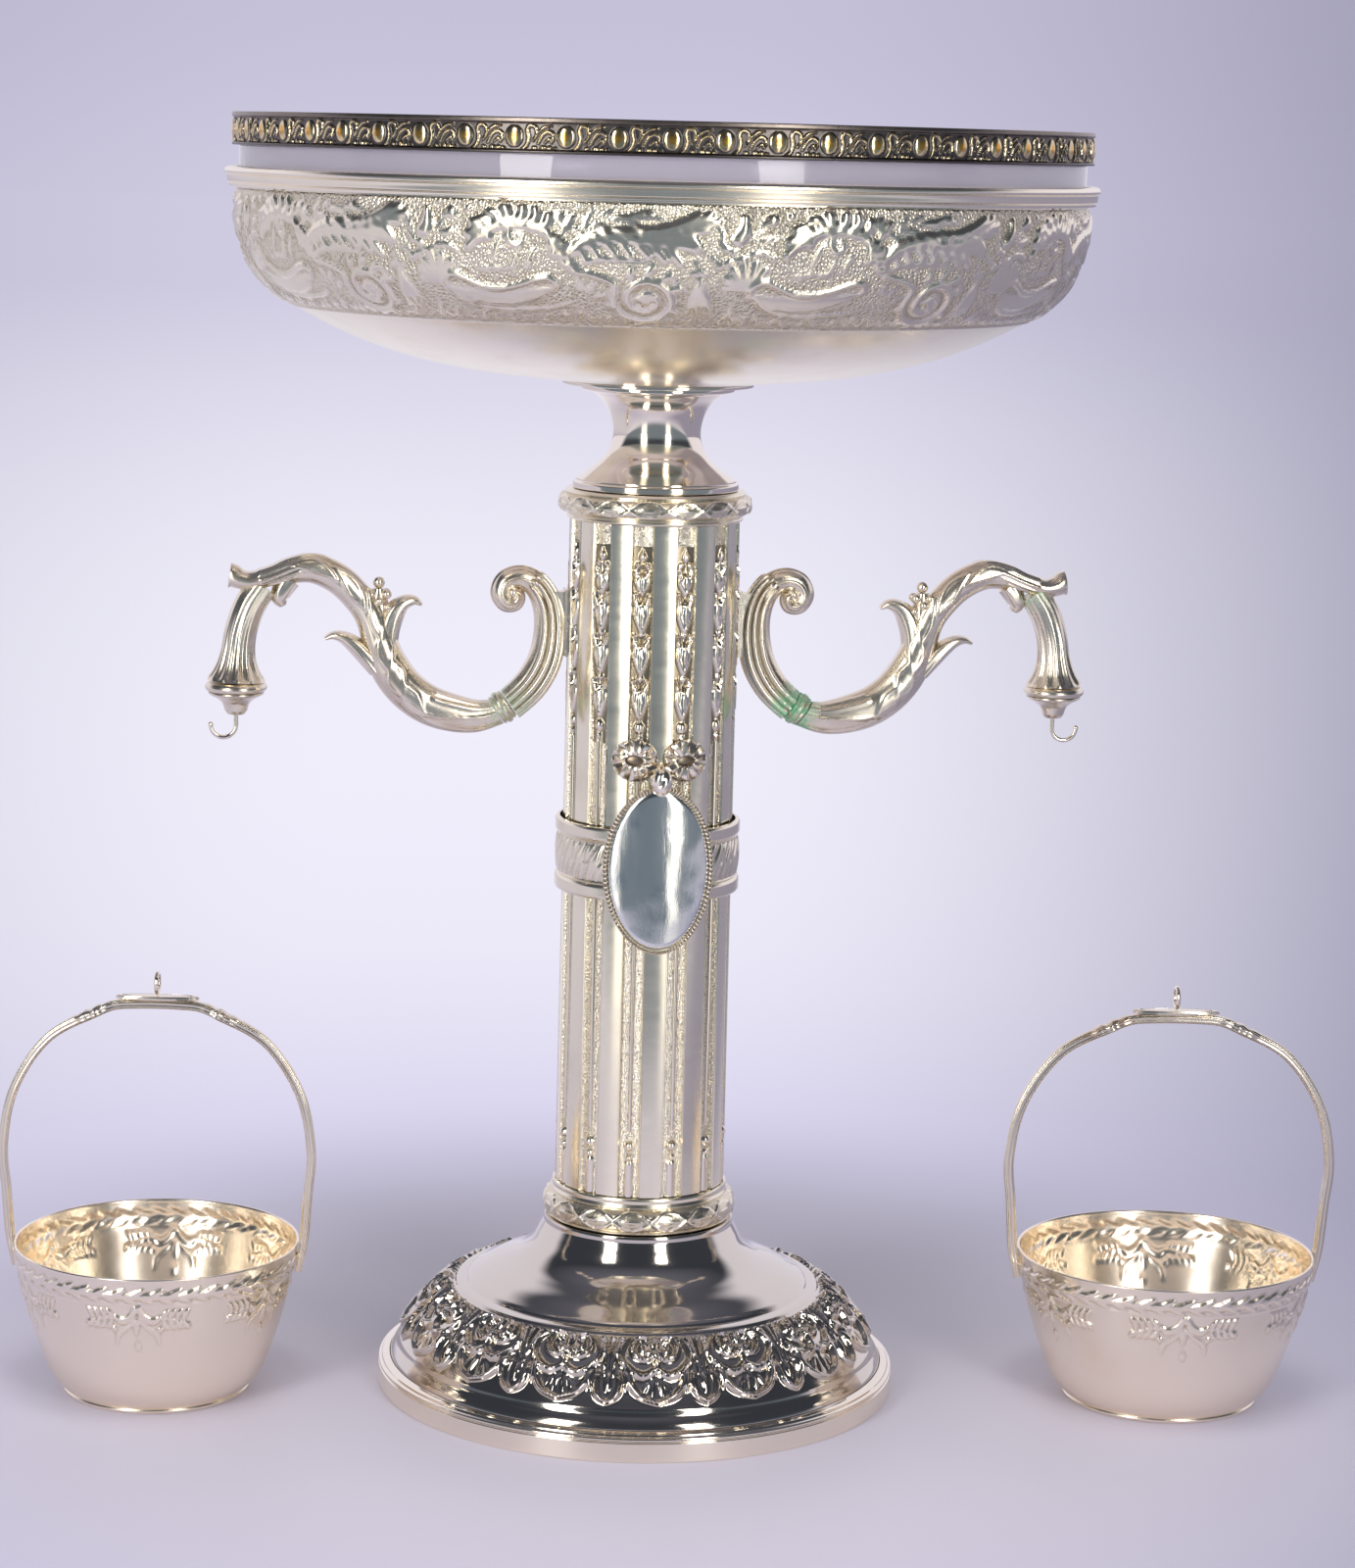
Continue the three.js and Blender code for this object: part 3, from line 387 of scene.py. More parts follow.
def seenBackdrop(bench):
    # 1 where a camera, glossy or transmission ray looks
    return rays(bench, "Is Camera Ray").maths("MAXIMUM", rays(bench, "Is Glossy Ray")).maths(
        "MAXIMUM", rays(bench, "Is Transmission Ray"))


def dimmed(bench, colour, slant, behind):
    # painted shade: behind the object the backdrop is darker to the right of the camera's line, and a little
    # to its left
    right, left = slant.between(0.0, 0.3), (slant * -1).between(0.08, 0.3)
    share = right * setting["dimRight"] + left * setting["dimLeft"]
    return bench.mix(share * behind, colour, linear(setting["dimTone"]))


def makeFloor():
    half = setting["floorSize"] / 2
    mesh = bpy.data.meshes.new("floor")
    mesh.from_pydata([(-half, -half, 0), (half, -half, 0), (half, half, 0), (-half, half, 0)], [],
                     [(0, 1, 2, 3)])
    floor = bpy.data.objects.new("floor", mesh)
    scene.collection.objects.link(floor)
    material, bench = newMaterial("floorPaper")
    place = bench.objectPlace()
    far = bench.node("ShaderNodeVectorMath", {"operation": "LENGTH"}, {0: place}, "Value")
    # painted shade: the backdrop's glow runs from darker near the axis to paler further out, and dims again
    # far off
    tone = (far / setting["rampStart"]).maths("LOGARITHM", 10.0) / setting["rampDecades"]
    stops = [(at, linear(colour)) for at, colour in setting["backdrop"]]
    backdrop = bench.node("ShaderNodeValToRGB", {"stops": stops}, {0: tone})
    backdrop.socket.node.color_ramp.interpolation = "CARDINAL"
    ahead = along(bench, place, towards)
    eyeFar = Vector(shot["eye"]).xy.length * mm
    slant = along(bench, place, rightwards) / (eyeFar - ahead).maths("MAXIMUM", 0.1)
    backdrop = dimmed(bench, backdrop, slant, 1.0 - ahead.between(*setting["dimEnd"]))
    # painted reflection: seen only in reflections, the floor past the table's end glows in the dark room's
    # tone
    gone = ahead.between(*setting["tableEnd"]) * rays(bench, "Is Glossy Ray")
    backdrop = bench.mix(gone, backdrop, linear(setting["tableGone"]))
    # painted lamp reflections: past the table's edge, glowing strips on the floor, seen only in reflections,
    # carry the two tall lamps on down to the ground
    azimuth = along(bench, place, (1, 0, 0)).maths("ARCTAN2", along(bench, place, (0, -1, 0)))
    for lamp in (lamps["leftLamp"], lamps["rightLamp"]):
        apart = (azimuth - math.radians(lamp["azimuth"])).maths("ABSOLUTE")
        near, past = (math.radians(lamp["halfAngle"] * share) for share in (0.7, 1.3))
        strip = 1.0 - apart.between(near, past)
        backdrop = bench.mix(strip * gone, backdrop, setting["lampGlow"])
    glow = bench.node("ShaderNodeEmission", {}, {"Color": backdrop, "Strength": 1.0})
    paper = bench.node("ShaderNodeBsdfPrincipled", {}, {
        "Base Color": linear(setting["floorColour"]), "Roughness": setting["floorRough"],
        "Normal": bench.bump(bench.noise(place, 900.0), 0.05, 0.0005)})
    edge = far.between(*setting["litRadius"]) * seenBackdrop(bench)
    finishMaterial(bench, bench.node("ShaderNodeMixShader", {}, {0: edge, 1: paper, 2: glow}))
    mesh.materials.append(material)


def makeWorld():
    world = bpy.data.worlds.new("studio")
    world.use_nodes = True
    world.node_tree.nodes.clear()
    scene.world = world
    bench = Bench(world.node_tree)
    direction = bench.node("ShaderNodeTexCoord", {}, {}, "Generated")
    facing = along(bench, direction, towards)
    height = bench.node("ShaderNodeSeparateXYZ", {}, {0: direction}, "Z")
    # the pale wall stands behind the object and stops short of overhead
    aside = along(bench, direction, rightwards).maths("ABSOLUTE")
    wall = (facing * -0.9 - height * 0.7 + aside * 0.16).between(0.0, 0.24)
    stops = [(at, linear(tone)) for at, tone in setting["room"]]
    room = bench.node("ShaderNodeValToRGB", {"stops": stops}, {0: height * 0.5 + 0.5})
    colour = bench.mix(wall, room, linear(setting["wall"]))
    fill = {"Color": setting["skyFill"], "Strength": setting["diffuseSky"]}
    plain = bench.node("ShaderNodeBackground", {}, fill)
    slant = along(bench, direction, rightwards) / (facing * -1).maths("MAXIMUM", 0.1)
    above = bench.mix(height.between(-0.03, 0.04), linear(setting["horizon"]), linear(setting["sky"]))
    behind = (facing * -1).between(0.0, 0.6)
    shown = bench.mix(rays(bench, "Is Camera Ray"), colour, dimmed(bench, above, slant, behind))
    seen = bench.node("ShaderNodeBackground", {}, {"Color": shown, "Strength": 1.0})
    both = bench.node("ShaderNodeMixShader", {}, {0: seenBackdrop(bench), 1: plain, 2: seen})
    bench.node("ShaderNodeOutputWorld", {}, {"Surface": both})


def areaLamp(name, look):
    lamp = bpy.data.lights.new(name, "AREA")
    lamp.shape = "RECTANGLE"
    lamp.size, lamp.size_y = look["size"]
    lamp.energy = look["power"]
    lamp.color = look["colour"]
    holder = bpy.data.objects.new(name, lamp)
    angle, far = math.radians(look["azimuth"]), look["distance"]
    where = Vector((math.sin(angle) * far, -math.cos(angle) * far, look["height"]))
    aim = Vector((0, 0, setting["aimHeight"])) - where
    holder.matrix_world = Matrix.Translation(where) @ aim.to_track_quat("-Z", "Y").to_matrix().to_4x4()
    holder.visible_camera = False
    holder.visible_glossy = "halfAngle" in look   # the lamp overhead isn't mirrored
    scene.collection.objects.link(holder)


makeFloor()
makeWorld()
for lampName, lampLook in lamps.items():
    areaLamp(lampName, lampLook)
say("setting")


# Outlines: (r, z) is a corner, (r, z, fillet) a rounded corner, (r, z, "c") a point on a smooth curve
def smoothThrough(points, steps=8):
    points = np.asarray(points, float)
    held = np.vstack([2 * points[0] - points[1], points, 2 * points[-1] - points[-2]])
    out = []
    for i in range(len(points) - 1):
        p = held[i:i + 4]
        knots = np.concatenate([[0], np.cumsum(np.sqrt(np.linalg.norm(np.diff(p, axis=0), axis=1)) + 1e-9)])
        t = np.linspace(knots[1], knots[2], steps, endpoint=False)[:, None]
        first = [((knots[k + 1] - t) * p[k] + (t - knots[k]) * p[k + 1]) / (knots[k + 1] - knots[k])
                 for k in range(3)]
        second = [((knots[k + 2] - t) * first[k] + (t - knots[k]) * first[k + 1]) / (knots[k + 2] - knots[k])
                  for k in range(2)]
        out.append(((knots[2] - t) * second[0] + (t - knots[1]) * second[1]) / (knots[2] - knots[1]))
    return np.vstack(out + [points[-1:]])


def outline(points, fillet=0.25, steps=8):
    places = np.array([p[:2] for p in points], float)
    kinds = [p[2] if len(p) > 2 else fillet for p in points]
    out = []
    i = 0
    while i < len(places):
        if i + 1 < len(places) and kinds[i + 1] == "c":
            j = i + 1
            while j < len(places) and kinds[j] == "c":
                j += 1
            j = min(j, len(places) - 1)
            out.extend(smoothThrough(places[i:j + 1], steps)[:-1])
            i = j
            if j == len(places) - 1:
                out.append(places[-1])
                break
            continue
        if i == 0 or i == len(places) - 1 or not kinds[i]:
            out.append(places[i])
            i += 1
            continue
        before, here, after = places[i - 1], places[i], places[i + 1]
        back, ahead = before - here, after - here
        reach = min(kinds[i], 0.4 * np.linalg.norm(back), 0.4 * np.linalg.norm(ahead))
        start, end = here + back / np.linalg.norm(back) * reach, here + ahead / np.linalg.norm(ahead) * reach
        # a point beside the fillet on a long leg keeps the flat face's shading flat
        if np.linalg.norm(back) > 6 * reach:
            out.append(start + back / np.linalg.norm(back) * reach)
        for t in np.linspace(0, 1, 5):
            out.append((1 - t) ** 2 * start + 2 * t * (1 - t) * here + t * t * end)
        if np.linalg.norm(ahead) > 6 * reach:
            out.append(end + ahead / np.linalg.norm(ahead) * reach)
        i += 1
    return np.array(out)


def leftOf(profile, distance):
    tangent = flowOf(profile)
    return profile + distance * np.stack([-tangent[:, 1], tangent[:, 0]], 1)


# Rings of points, joined one to the next. Where two neighbours differ, the larger count has to be a
# whole multiple of the smaller one, which may be 1.
def ringFaces(rings, loop=False):
    starts = np.concatenate([[0], np.cumsum([len(r) for r in rings])[:-1]])
    order = list(range(len(rings))) + ([0] if loop else [])
    faces = []
    for a, b in zip(order, order[1:]):
        na, nb = len(rings[a]), len(rings[b])
        n = max(na, nb)
        j = np.arange(n)
        k = (j + 1) % n
        if na == nb:
            faces.append(np.stack([starts[a] + j, starts[a] + k, starts[b] + k, starts[b] + j], 1))
            continue
        fine, coarse, few = (a, b, nb) if na > nb else (b, a, na)
        share = n // few
        near = (j + share // 2) // share % few
        tris = np.stack([starts[fine] + j, starts[fine] + k, starts[coarse] + near], 1)
        faces.append(tris if fine == a else tris[:, ::-1])
        if few > 1:
            c = np.arange(few)
            turn = (c * share + share - share // 2) % n
            link = np.stack([starts[coarse] + (c + 1) % few, starts[coarse] + c, starts[fine] + turn], 1)
            faces.append(link if fine == a else link[:, ::-1])
    return faces


def around(profile, steps, rise=None, centre=(0, 0)):
    # rings of a turned profile, each point pushed out along the profile's own normal by rise
    profile = np.asarray(profile, float)
    angle = circle(steps) - np.pi / 2
    flow = flowOf(profile)
    rings = []
    for i, (r, z) in enumerate(profile):
        lift = 0.0 if rise is None else rise[i]
        reach = r + lift * flow[i, 1]
        level = z - lift * flow[i, 0] + np.zeros(steps)
        if r < 1e-6:
            rings.append(np.array([[centre[0], centre[1], z]]))
            continue
        x, y = centre[0] + reach * np.cos(angle), centre[1] + reach * np.sin(angle)
        rings.append(np.stack([x, y, level], 1))
    return rings


class Heap:  # collects points, blocks of faces and values of one piece
    def __init__(self):
        self.points, self.faces, self.values, self.count = [], [], [], 0

    def add(self, points, faces, **values):
        points = np.asarray(points, float)
        middle = points.mean(0)
        volume = 0.0
        for block in faces:
            corner = [points[block[:, i]] - middle for i in range(block.shape[1])]
            for i in range(1, len(corner) - 1):
                volume += float(np.einsum("ij,ij->", corner[0], np.cross(corner[i], corner[i + 1])))
        if volume < 0:
            faces = [block[:, ::-1] for block in faces]
        self.points.append(points)
        self.faces.extend([block + self.count for block in faces])
        self.values.append((len(points), values))
        self.count += len(points)

    def rings(self, rings, loop=False, **values):
        self.add(np.vstack(rings), ringFaces(rings, loop), **values)

    def capped(self, rings, **values):
        # both ends closed by a point in their middle
        first, last = rings[0].mean(0)[None], rings[-1].mean(0)[None]
        padded = {k: np.concatenate([[v[0]], v, [v[-1]]]) for k, v in values.items()}
        self.rings([first] + list(rings) + [last], **padded)

    def thing(self, name, sharp):
        # the mesh, smooth but for edges sharper than so many degrees, and an object for it
        mesh = bpy.data.meshes.new(name)
        faces = [face for block in self.faces for face in block.tolist()]
        mesh.from_pydata((np.vstack(self.points) * mm).tolist(), [], faces)
        for key in sorted({k for _, values in self.values for k in values}):
            level = np.concatenate([np.broadcast_to(v.get(key, 0.0), n) for n, v in self.values])
            mesh.attributes.new(key, "FLOAT", "POINT").data.foreach_set("value", level.astype(np.float32))
        mesh.shade_smooth()
        mesh.set_sharp_from_angle(angle=math.radians(sharp))
        made = bpy.data.objects.new(name, mesh)
        scene.collection.objects.link(made)
        return made

    def piece(self, name, finish, body, slot, *nodes, sharp=32):
        made = self.thing(name, sharp)
        made.data.materials.append(finishes[finish])
        placed(made, body, slot, *nodes)


def placed(made, body, slot, *nodes):
    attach(made, body)
    if nodes:
        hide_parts(*nodes)


def turnedPiece(name, profile, finish, slot, *nodes, steps):
    # a plain turned piece of the stand
    heap = Heap()
    heap.rings(around(profile, steps), loop=profile[0][0] > 1e-6)
    heap.piece(name, finish, "stand", slot, *nodes)


def span(node):
    low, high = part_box(node)
    return low.z / mm, high.z / mm


# Chased and cast relief: strokes are laid over a flat field of (s, t) places, the highest wins. Heights
# are shares of the work's own, and a work that repeats is seamless over its repeat.
class Relief:
    def __init__(self, s, t, repeat=None, high=1.0):
        self.s, self.t = np.broadcast_arrays(s, t)
        self.shifts = (0.0,) if repeat is None else (-repeat, 0.0, repeat)
        self.high = high
        self.height = np.zeros(self.s.shape)

    def raiseTo(self, level):
        self.height = np.maximum(self.height, level)

    def nearest(self, path, widths):
        # share of the width at which each place lies from the path
        best = np.full(self.s.shape, 1e9)
        for shift in self.shifts:
            for i in range(len(path) - 1):
                a, b = path[i] + (shift, 0.0), path[i + 1] + (shift, 0.0)
                leg = b - a
                long = float(leg @ leg) + 1e-12
                h = np.clip(((self.s - a[0]) * leg[0] + (self.t - a[1]) * leg[1]) / long, 0, 1)
                ds, dt = self.s - a[0] - h * leg[0], self.t - a[1] - h * leg[1]
                width = widths[i] + (widths[i + 1] - widths[i]) * h
                best = np.minimum(best, np.sqrt(ds * ds + dt * dt) / np.maximum(width, 0.02))
        return best

    def stroke(self, points, widths, level=1.0, vein=0.0, steps=5, ribs=0, flat=0.0):
        path = smoothThrough(points, steps) if len(points) > 2 else np.asarray(points, float)
        given = np.linspace(0, 1, len(widths))
        share = self.nearest(path, np.interp(np.linspace(0, 1, len(path)), given, widths))
        body = np.clip((1 - share) * flat, 0, 1) if flat else np.sqrt(np.clip(1 - share ** 2, 0, 1))
        if vein:
            body = body * (1 - vein * np.exp(-(share / 0.16) ** 2))
        if ribs:
            body = body * (0.8 + 0.2 * np.cos(2 * math.pi * ribs * share))
        self.raiseTo(self.high * level * body)

    def ridge(self, points, width, level=1.0, steps=5):
        # a thin raised line of one width
        self.stroke(points, (width * 0.6, width, width, width * 0.6), level, steps=steps)

    def dome(self, centre, across, level=1.0, squeeze=1.0, dimple=0.0):
        for shift in self.shifts:
            u = (self.s - centre[0] - shift) / across
            v = (self.t - centre[1]) / (across * squeeze)
            share = np.sqrt(u * u + v * v)
            bulge = np.sqrt(np.clip(1 - share ** 2, 0, 1)) - dimple * np.exp(-(share / 0.3) ** 2)
            self.raiseTo(self.high * level * bulge)

    def curl(self, centre, start, turns, radius, width, level=1.0, tail=()):
        # a spiral that winds in to its centre from an angle in degrees
        steps = max(12, int(16 * turns))
        path = list(tail)
        for i in range(steps + 1):
            h = i / steps
            r = radius * (1 - 0.86 * h)
            a = math.radians(start) + 2 * math.pi * turns * h
            path.append((centre[0] + r * math.cos(a), centre[1] + r * math.sin(a)))
        self.stroke(path, (width * 0.6, width, width * 0.8, width * 0.35), level, steps=2)


def edgeShade(field, spacing, strength):
    # painted shade and tarnish, where low ground meets a steep side
    steep = np.sqrt(np.gradient(field, axis=0) ** 2 + np.gradient(field, axis=1) ** 2) / spacing
    low = np.clip(1 - field / (0.7 * field.max() + 1e-6), 0, 1)
    return np.clip(softened(steep, 2) * strength, 0, 1) * low


def softened(field, times=1):
    for _ in range(times):
        sideways = (np.roll(field, 1, 1) + np.roll(field, -1, 1) + 2 * field) / 4
        field = sideways.copy()
        field[1:-1] = (sideways[:-2] + sideways[2:] + 2 * sideways[1:-1]) / 4
    return field


# One shape set round the axis a number of times: points, an instance on each, made real
def ringOf(name, unit, count, start, material):
    tree = bpy.data.node_groups.new(name + "Ring", "GeometryNodeTree")
    for key, kind in (("Geometry", "NodeSocketGeometry"), ("Unit", "NodeSocketObject"),
                      ("Count", "NodeSocketInt"), ("Step", "NodeSocketFloat"), ("Start", "NodeSocketFloat"),
                      ("Finish", "NodeSocketMaterial")):
        tree.interface.new_socket(key, in_out="INPUT", socket_type=kind)
    tree.interface.new_socket("Geometry", in_out="OUTPUT", socket_type="NodeSocketGeometry")
    bench = Bench(tree)
    given = tree.nodes.new("NodeGroupInput").outputs
    dots = bench.node("GeometryNodePoints", {}, {"Count": Wire(bench, given["Count"])})
    index = bench.node("GeometryNodeInputIndex")
    turn = index * Wire(bench, given["Step"]) + Wire(bench, given["Start"])
    spin = bench.node("ShaderNodeCombineXYZ", {}, {"Z": turn})
    shape = bench.node("GeometryNodeObjectInfo", {}, {"Object": Wire(bench, given["Unit"])}, "Geometry")
    spread = {"Points": dots, "Instance": shape, "Rotation": spin}
    copies = bench.node("GeometryNodeInstanceOnPoints", {}, spread)
    real = bench.node("GeometryNodeRealizeInstances", {}, {0: copies})
    paint = {"Geometry": real, "Material": Wire(bench, given["Finish"])}
    painted = bench.node("GeometryNodeSetMaterial", {}, paint)
    out = tree.nodes.new("NodeGroupOutput")
    tree.links.new(painted.socket, out.inputs["Geometry"])
    holder = bpy.data.objects.new(name, bpy.data.meshes.new(name + "Seed"))
    scene.collection.objects.link(holder)
    modifier = holder.modifiers.new("ring", "NODES")
    modifier.node_group = tree
    sockets = {item.name: item.identifier for item in tree.interface.items_tree if item.in_out == "INPUT"}
    modifier[sockets["Unit"]] = unit
    modifier[sockets["Count"]] = count
    modifier[sockets["Step"]] = math.tau / count
    modifier[sockets["Start"]] = math.radians(start)
    modifier[sockets["Finish"]] = material
    ready = bpy.context.evaluated_depsgraph_get()
    mesh = bpy.data.meshes.new_from_object(holder.evaluated_get(ready))
    mesh.name = name
    holder.modifiers.remove(modifier)
    holder.data = mesh
    bpy.data.objects.remove(unit)
    return holder


def reliefPiece(name, before, worked, after, finish, slot, node, body="stand", **values):
    # closed rings, of which only the worked ones in the middle carry values
    heap = Heap()
    plainBefore, plainAfter = (sum(len(ring) for ring in rings) for rings in (before, after))
    heap.rings(before + worked + after, loop=True, **{
        key: np.concatenate([np.zeros(plainBefore), value.ravel(), np.zeros(plainAfter)])
        for key, value in values.items()})
    heap.piece(name, finish, body, slot, node, sharp=60)


# Foot: a plain band, a domed foot with palmettes on its slope, a cove under the collar
foot = {
    "bandRadius": 111.3, "bandInside": 106.4, "bandHeight": 10.4, "stepRadius": 73.0,
    "topRadius": 41.0, "topHeight": 74.2,
    "palmettes": 15, "firstPalmette": -1.9, "perPalmette": 72, "palmetteRise": 2.6,
    "palmetteRadius": 92.0, "skirtRun": 7.0,
}


def footBand():
    outer, inner, top = foot["bandRadius"], foot["bandInside"], foot["bandHeight"]
    profile = outline([
        (inner, 0), (outer, 0, 0.5), (outer, top - 2.2, 0.35), (outer - 0.7, top - 1.9, 0.2),
        (outer - 0.7, top - 1.5, 0.2), (outer - 0.1, top - 1.1, 0.3), (outer - 0.3, top - 0.2, 0.3),
        (outer - 1.6, top + 0.2, 0.3), (outer - 1.9, top + 1.0, 0.2), (outer - 3.4, top + 1.4, 0.4),
        (inner, top + 1.7)])
    turnedPiece("footBand", profile, "silver", "silver", "base_rim_band", steps=320)


def palmetteField(s, t, pitch):
    # s runs round the foot, t up its slope; lobes with raised edges, a clam below and curled leaves above
    work = Relief(s, t, pitch, foot["palmetteRise"])
    half = pitch / 2
    for way in (-1, 1):
        for k in range(2):
            x = way * (2.2 + k * 3.4)
            work.stroke([(x * 0.2, 20.8), (x * 0.8, 16.8), (x, 12.8 + k * 1.6)], (0.35, 0.8, 0.35), 0.4)
        work.stroke([(0, 24.4), (way * 3.4, 21.8), (way * 8.6, 22.2), (way * 13.8, 27.4)],
                    (1.0, 1.35, 1.35, 0.8), steps=8)
        work.ridge([(way * 10.8, 22.4), (way * 10.2, 17.4), (way * 6.4, 12.6), (0, 9.8)], 1.15, 0.95, steps=8)
        work.stroke([(way * 14.0, 26.8), (way * 15.2, 31.4), (way * 13.6, 36.0), (way * 9.6, 39.6)],
                    (0.9, 1.1, 1.0, 0.6), 0.85)
        work.ridge([(way * 0.9, 30.2), (way * 4.6, 28.6), (way * 8.8, 30.6), (way * 10.0, 34.8),
                    (way * 7.6, 38.8), (way * 3.6, 39.2)], 0.85, steps=8)
        work.ridge([(way * 1.6, 33.0), (way * 3.6, 31.6), (way * 6.2, 33.0), (way * 6.0, 36.0),
                    (way * 3.8, 36.8)], 0.7, 0.8)
        work.ridge([(half - way * 4.2, 21.8), (half - way * 5.0, 17.4), (half - way * 3.2, 12.0),
                    (half, 9.6)], 1.05, 0.95, steps=8)
        work.stroke([(half - way * 1.5, 21.4), (half - way * 1.9, 30), (half - way * 4.4, 39.4)],
                    (0.3, 0.7, 0.8), 0.7)
        work.stroke([(half - way * 6.6, 22.6), (half - way * 7.6, 18.6), (half - way * 7.4, 15.4)],
                    (0.9, 1.3, 0.4), 0.8)
    work.stroke([(half, 22.6), (half, 18.4), (half, 14.6)], (0.4, 1.3, 0.3), 0.5)
    work.stroke([(half, 24.0), (half, 31), (half, 39.4)], (0.3, 0.6, 0.7), 0.7)
    work.stroke([(0, 24), (0, 29.0)], (0.9, 0.9))
    work.dome((0, 30.8), 1.9, 1.1)
    work.stroke([(0, 33.0), (0, 36.4), (0, 40.0)], (0.5, 1.5, 0.5), 0.85, vein=0.3)
    return work.height


def footDome():
    skirt = foot["bandInside"] - 0.3
    step, top, high = foot["stepRadius"], foot["topRadius"] - 0.6, foot["topHeight"]
    low = outline([(skirt, 1.5), (skirt, foot["bandHeight"] + 1.8), (skirt - 0.4, 13.4, "c"),
                   (skirt - 1.6, 15.4, "c"), (skirt - 3.0, 17.4, "c"), (skirt - 3.6, 19.4)], steps=5)
    slope = smoothThrough([(skirt - 3.6, 19.4), (skirt - 7.8, 25.4), (skirt - 15.6, 34.6),
                           (skirt - 22.4, 40.4), (skirt - 27.6, 43.2)], 14)
    shoulder = outline([(skirt - 27.6, 43.2), (skirt - 28.2, 44.2, 0.3), (step + 3.6, 44.6, 0.4),
                        (step + 0.6, 45.0, 0.3), (step, 46.0, 0.3), (step - 1.2, 47.0, 0.3),
                        (step - 3.6, 48.2, "c"), (step - 9.0, 51.0, "c"), (step - 16.0, 53.9, "c"),
                        (step - 21.6, 56.7, "c"), (step - 26.6, 61.2, "c"), (step - 30.0, 67.2, "c"),
                        (top + 0.3, high - 2.6), (top + 0.3, high - 1.0, 0.3), (top, high, 0.2),
                        (rodBore, high)], steps=6)
    count = foot["palmettes"] * foot["perPalmette"]
    pitch = 2 * math.pi * foot["palmetteRadius"] / foot["palmettes"]
    run = runOf(slope)
    s = (np.arange(foot["perPalmette"]) / foot["perPalmette"] - 0.5) * pitch
    field = palmetteField(s[None, :], run[:, None] + foot["skirtRun"], pitch)
    fade = np.clip(np.minimum(run, run[-1] - run) / 0.8, 0, 1)[:, None]
    field = np.tile(softened(field * fade, 1), (1, foot["palmettes"]))
    start = foot["firstPalmette"] - 180 / foot["palmettes"]
    field = np.roll(field, int(round(start / 360 * count)), axis=1)
    few = count // 4
    inside = np.array([(skirt - 1.4, 1.5), (skirt - 1.4, 12.6), (skirt - 5.2, 18.2), (skirt - 17, 33.4),
                       (skirt - 28, 41.8), (step - 2, 44.4), (step - 9.6, 49), (step - 22.6, 55),
                       (step - 28, 60.6), (step - 31.6, 67.4), (top - 1.4, high - 1.4),
                       (rodBore, high - 1.4)])[::-1]
    recess = edgeShade(field, 0.55, 0.7) * fade
    reliefPiece("footDome", around(low[:-1], few), around(slope, count, field),
                around(shoulder[1:], few) + around(inside, few), "polished", "silver", "base_dome",
                recess=recess)


def footPlate():
    edge = foot["bandInside"] - 0.3
    turnedPiece("footPlate", outline([(0, 0.2), (edge - 2, 0.2, 0.3), (edge, 0.0, 0.2), (edge, 1.2, 0.2),
                                      (0, 1.2)]), "brass", "brass_fittings", "base_plate", steps=160)


footBand()
footDome()
footPlate()
say("foot")


# Collars with a torus, and the neck under the bowl
collar = {
    "lowerBottom": span("lower_collar")[0], "upperTop": span("upper_collar")[1], "steps": 480, "eyes": 8,
    "wave": 0.36, "lowerRise": 0.5, "upperRise": 0.45,
}


def reliefTurned(name, low, band, high, field, node, steps):
    # a turned ring of the stand with relief on its band, plain below and above
    few = steps // 4
    edges = edgeShade(field, 2 * math.pi * band[:, 0].max() / steps, 0.7)
    # painted shade and tarnish at steep edges and on the low ground
    recess = np.maximum(edges, 0.4 * np.clip(1 - field / (field.max() * 0.6), 0, 1))
    reliefPiece(name, around(low, few), around(band, steps, field), around(high, few), "chasedSilver",
                "chased_silver", node, recess=recess, ground=recess * 0.3)


def ribbonTorus(band, high):
    # two fine ribbons wave round the torus and cross, with a slim leaf in each eye between them
    run = runOf(band)
    wide = run[-1]
    pitch = 2 * math.pi * band[:, 0].max() / collar["eyes"]
    count = collar["steps"] // collar["eyes"]
    s = (np.arange(count) / count - 0.5) * pitch
    work = Relief(s[None, :], run[:, None], pitch, high)
    for wave in (-collar["wave"], collar["wave"]):
        path = [(u * pitch, wide * (0.5 + wave * math.sin(2 * math.pi * u)))
                for u in np.linspace(-0.5, 0.5, 25)]
        work.stroke(path, (0.62, 0.62), steps=1)
        for u in (-0.4, -0.3, -0.2, -0.1, 0.1, 0.2, 0.3, 0.4):
            x, t = u * pitch, wide * (0.5 + wave * math.sin(2 * math.pi * u))
            work.stroke([(x - 1.0, t - 0.5), (x + 0.4, t + 0.7)], (0.2, 0.5), 1.2)
    for x in (-0.25, 0.25):
        work.stroke([((x + lean) * pitch, wide / 2) for lean in (-0.12, 0, 0.12)], (0.2, 0.9, 0.2), 0.8,
                    vein=0.4)
    for x in (0.0, 0.5):
        work.dome((x * pitch, wide / 2), 1.0, 1.3)
    fade = np.clip(np.minimum(run, wide - run) / 0.7, 0, 1)[:, None]
    return np.tile(softened(work.height * fade, 1), (1, collar["eyes"]))


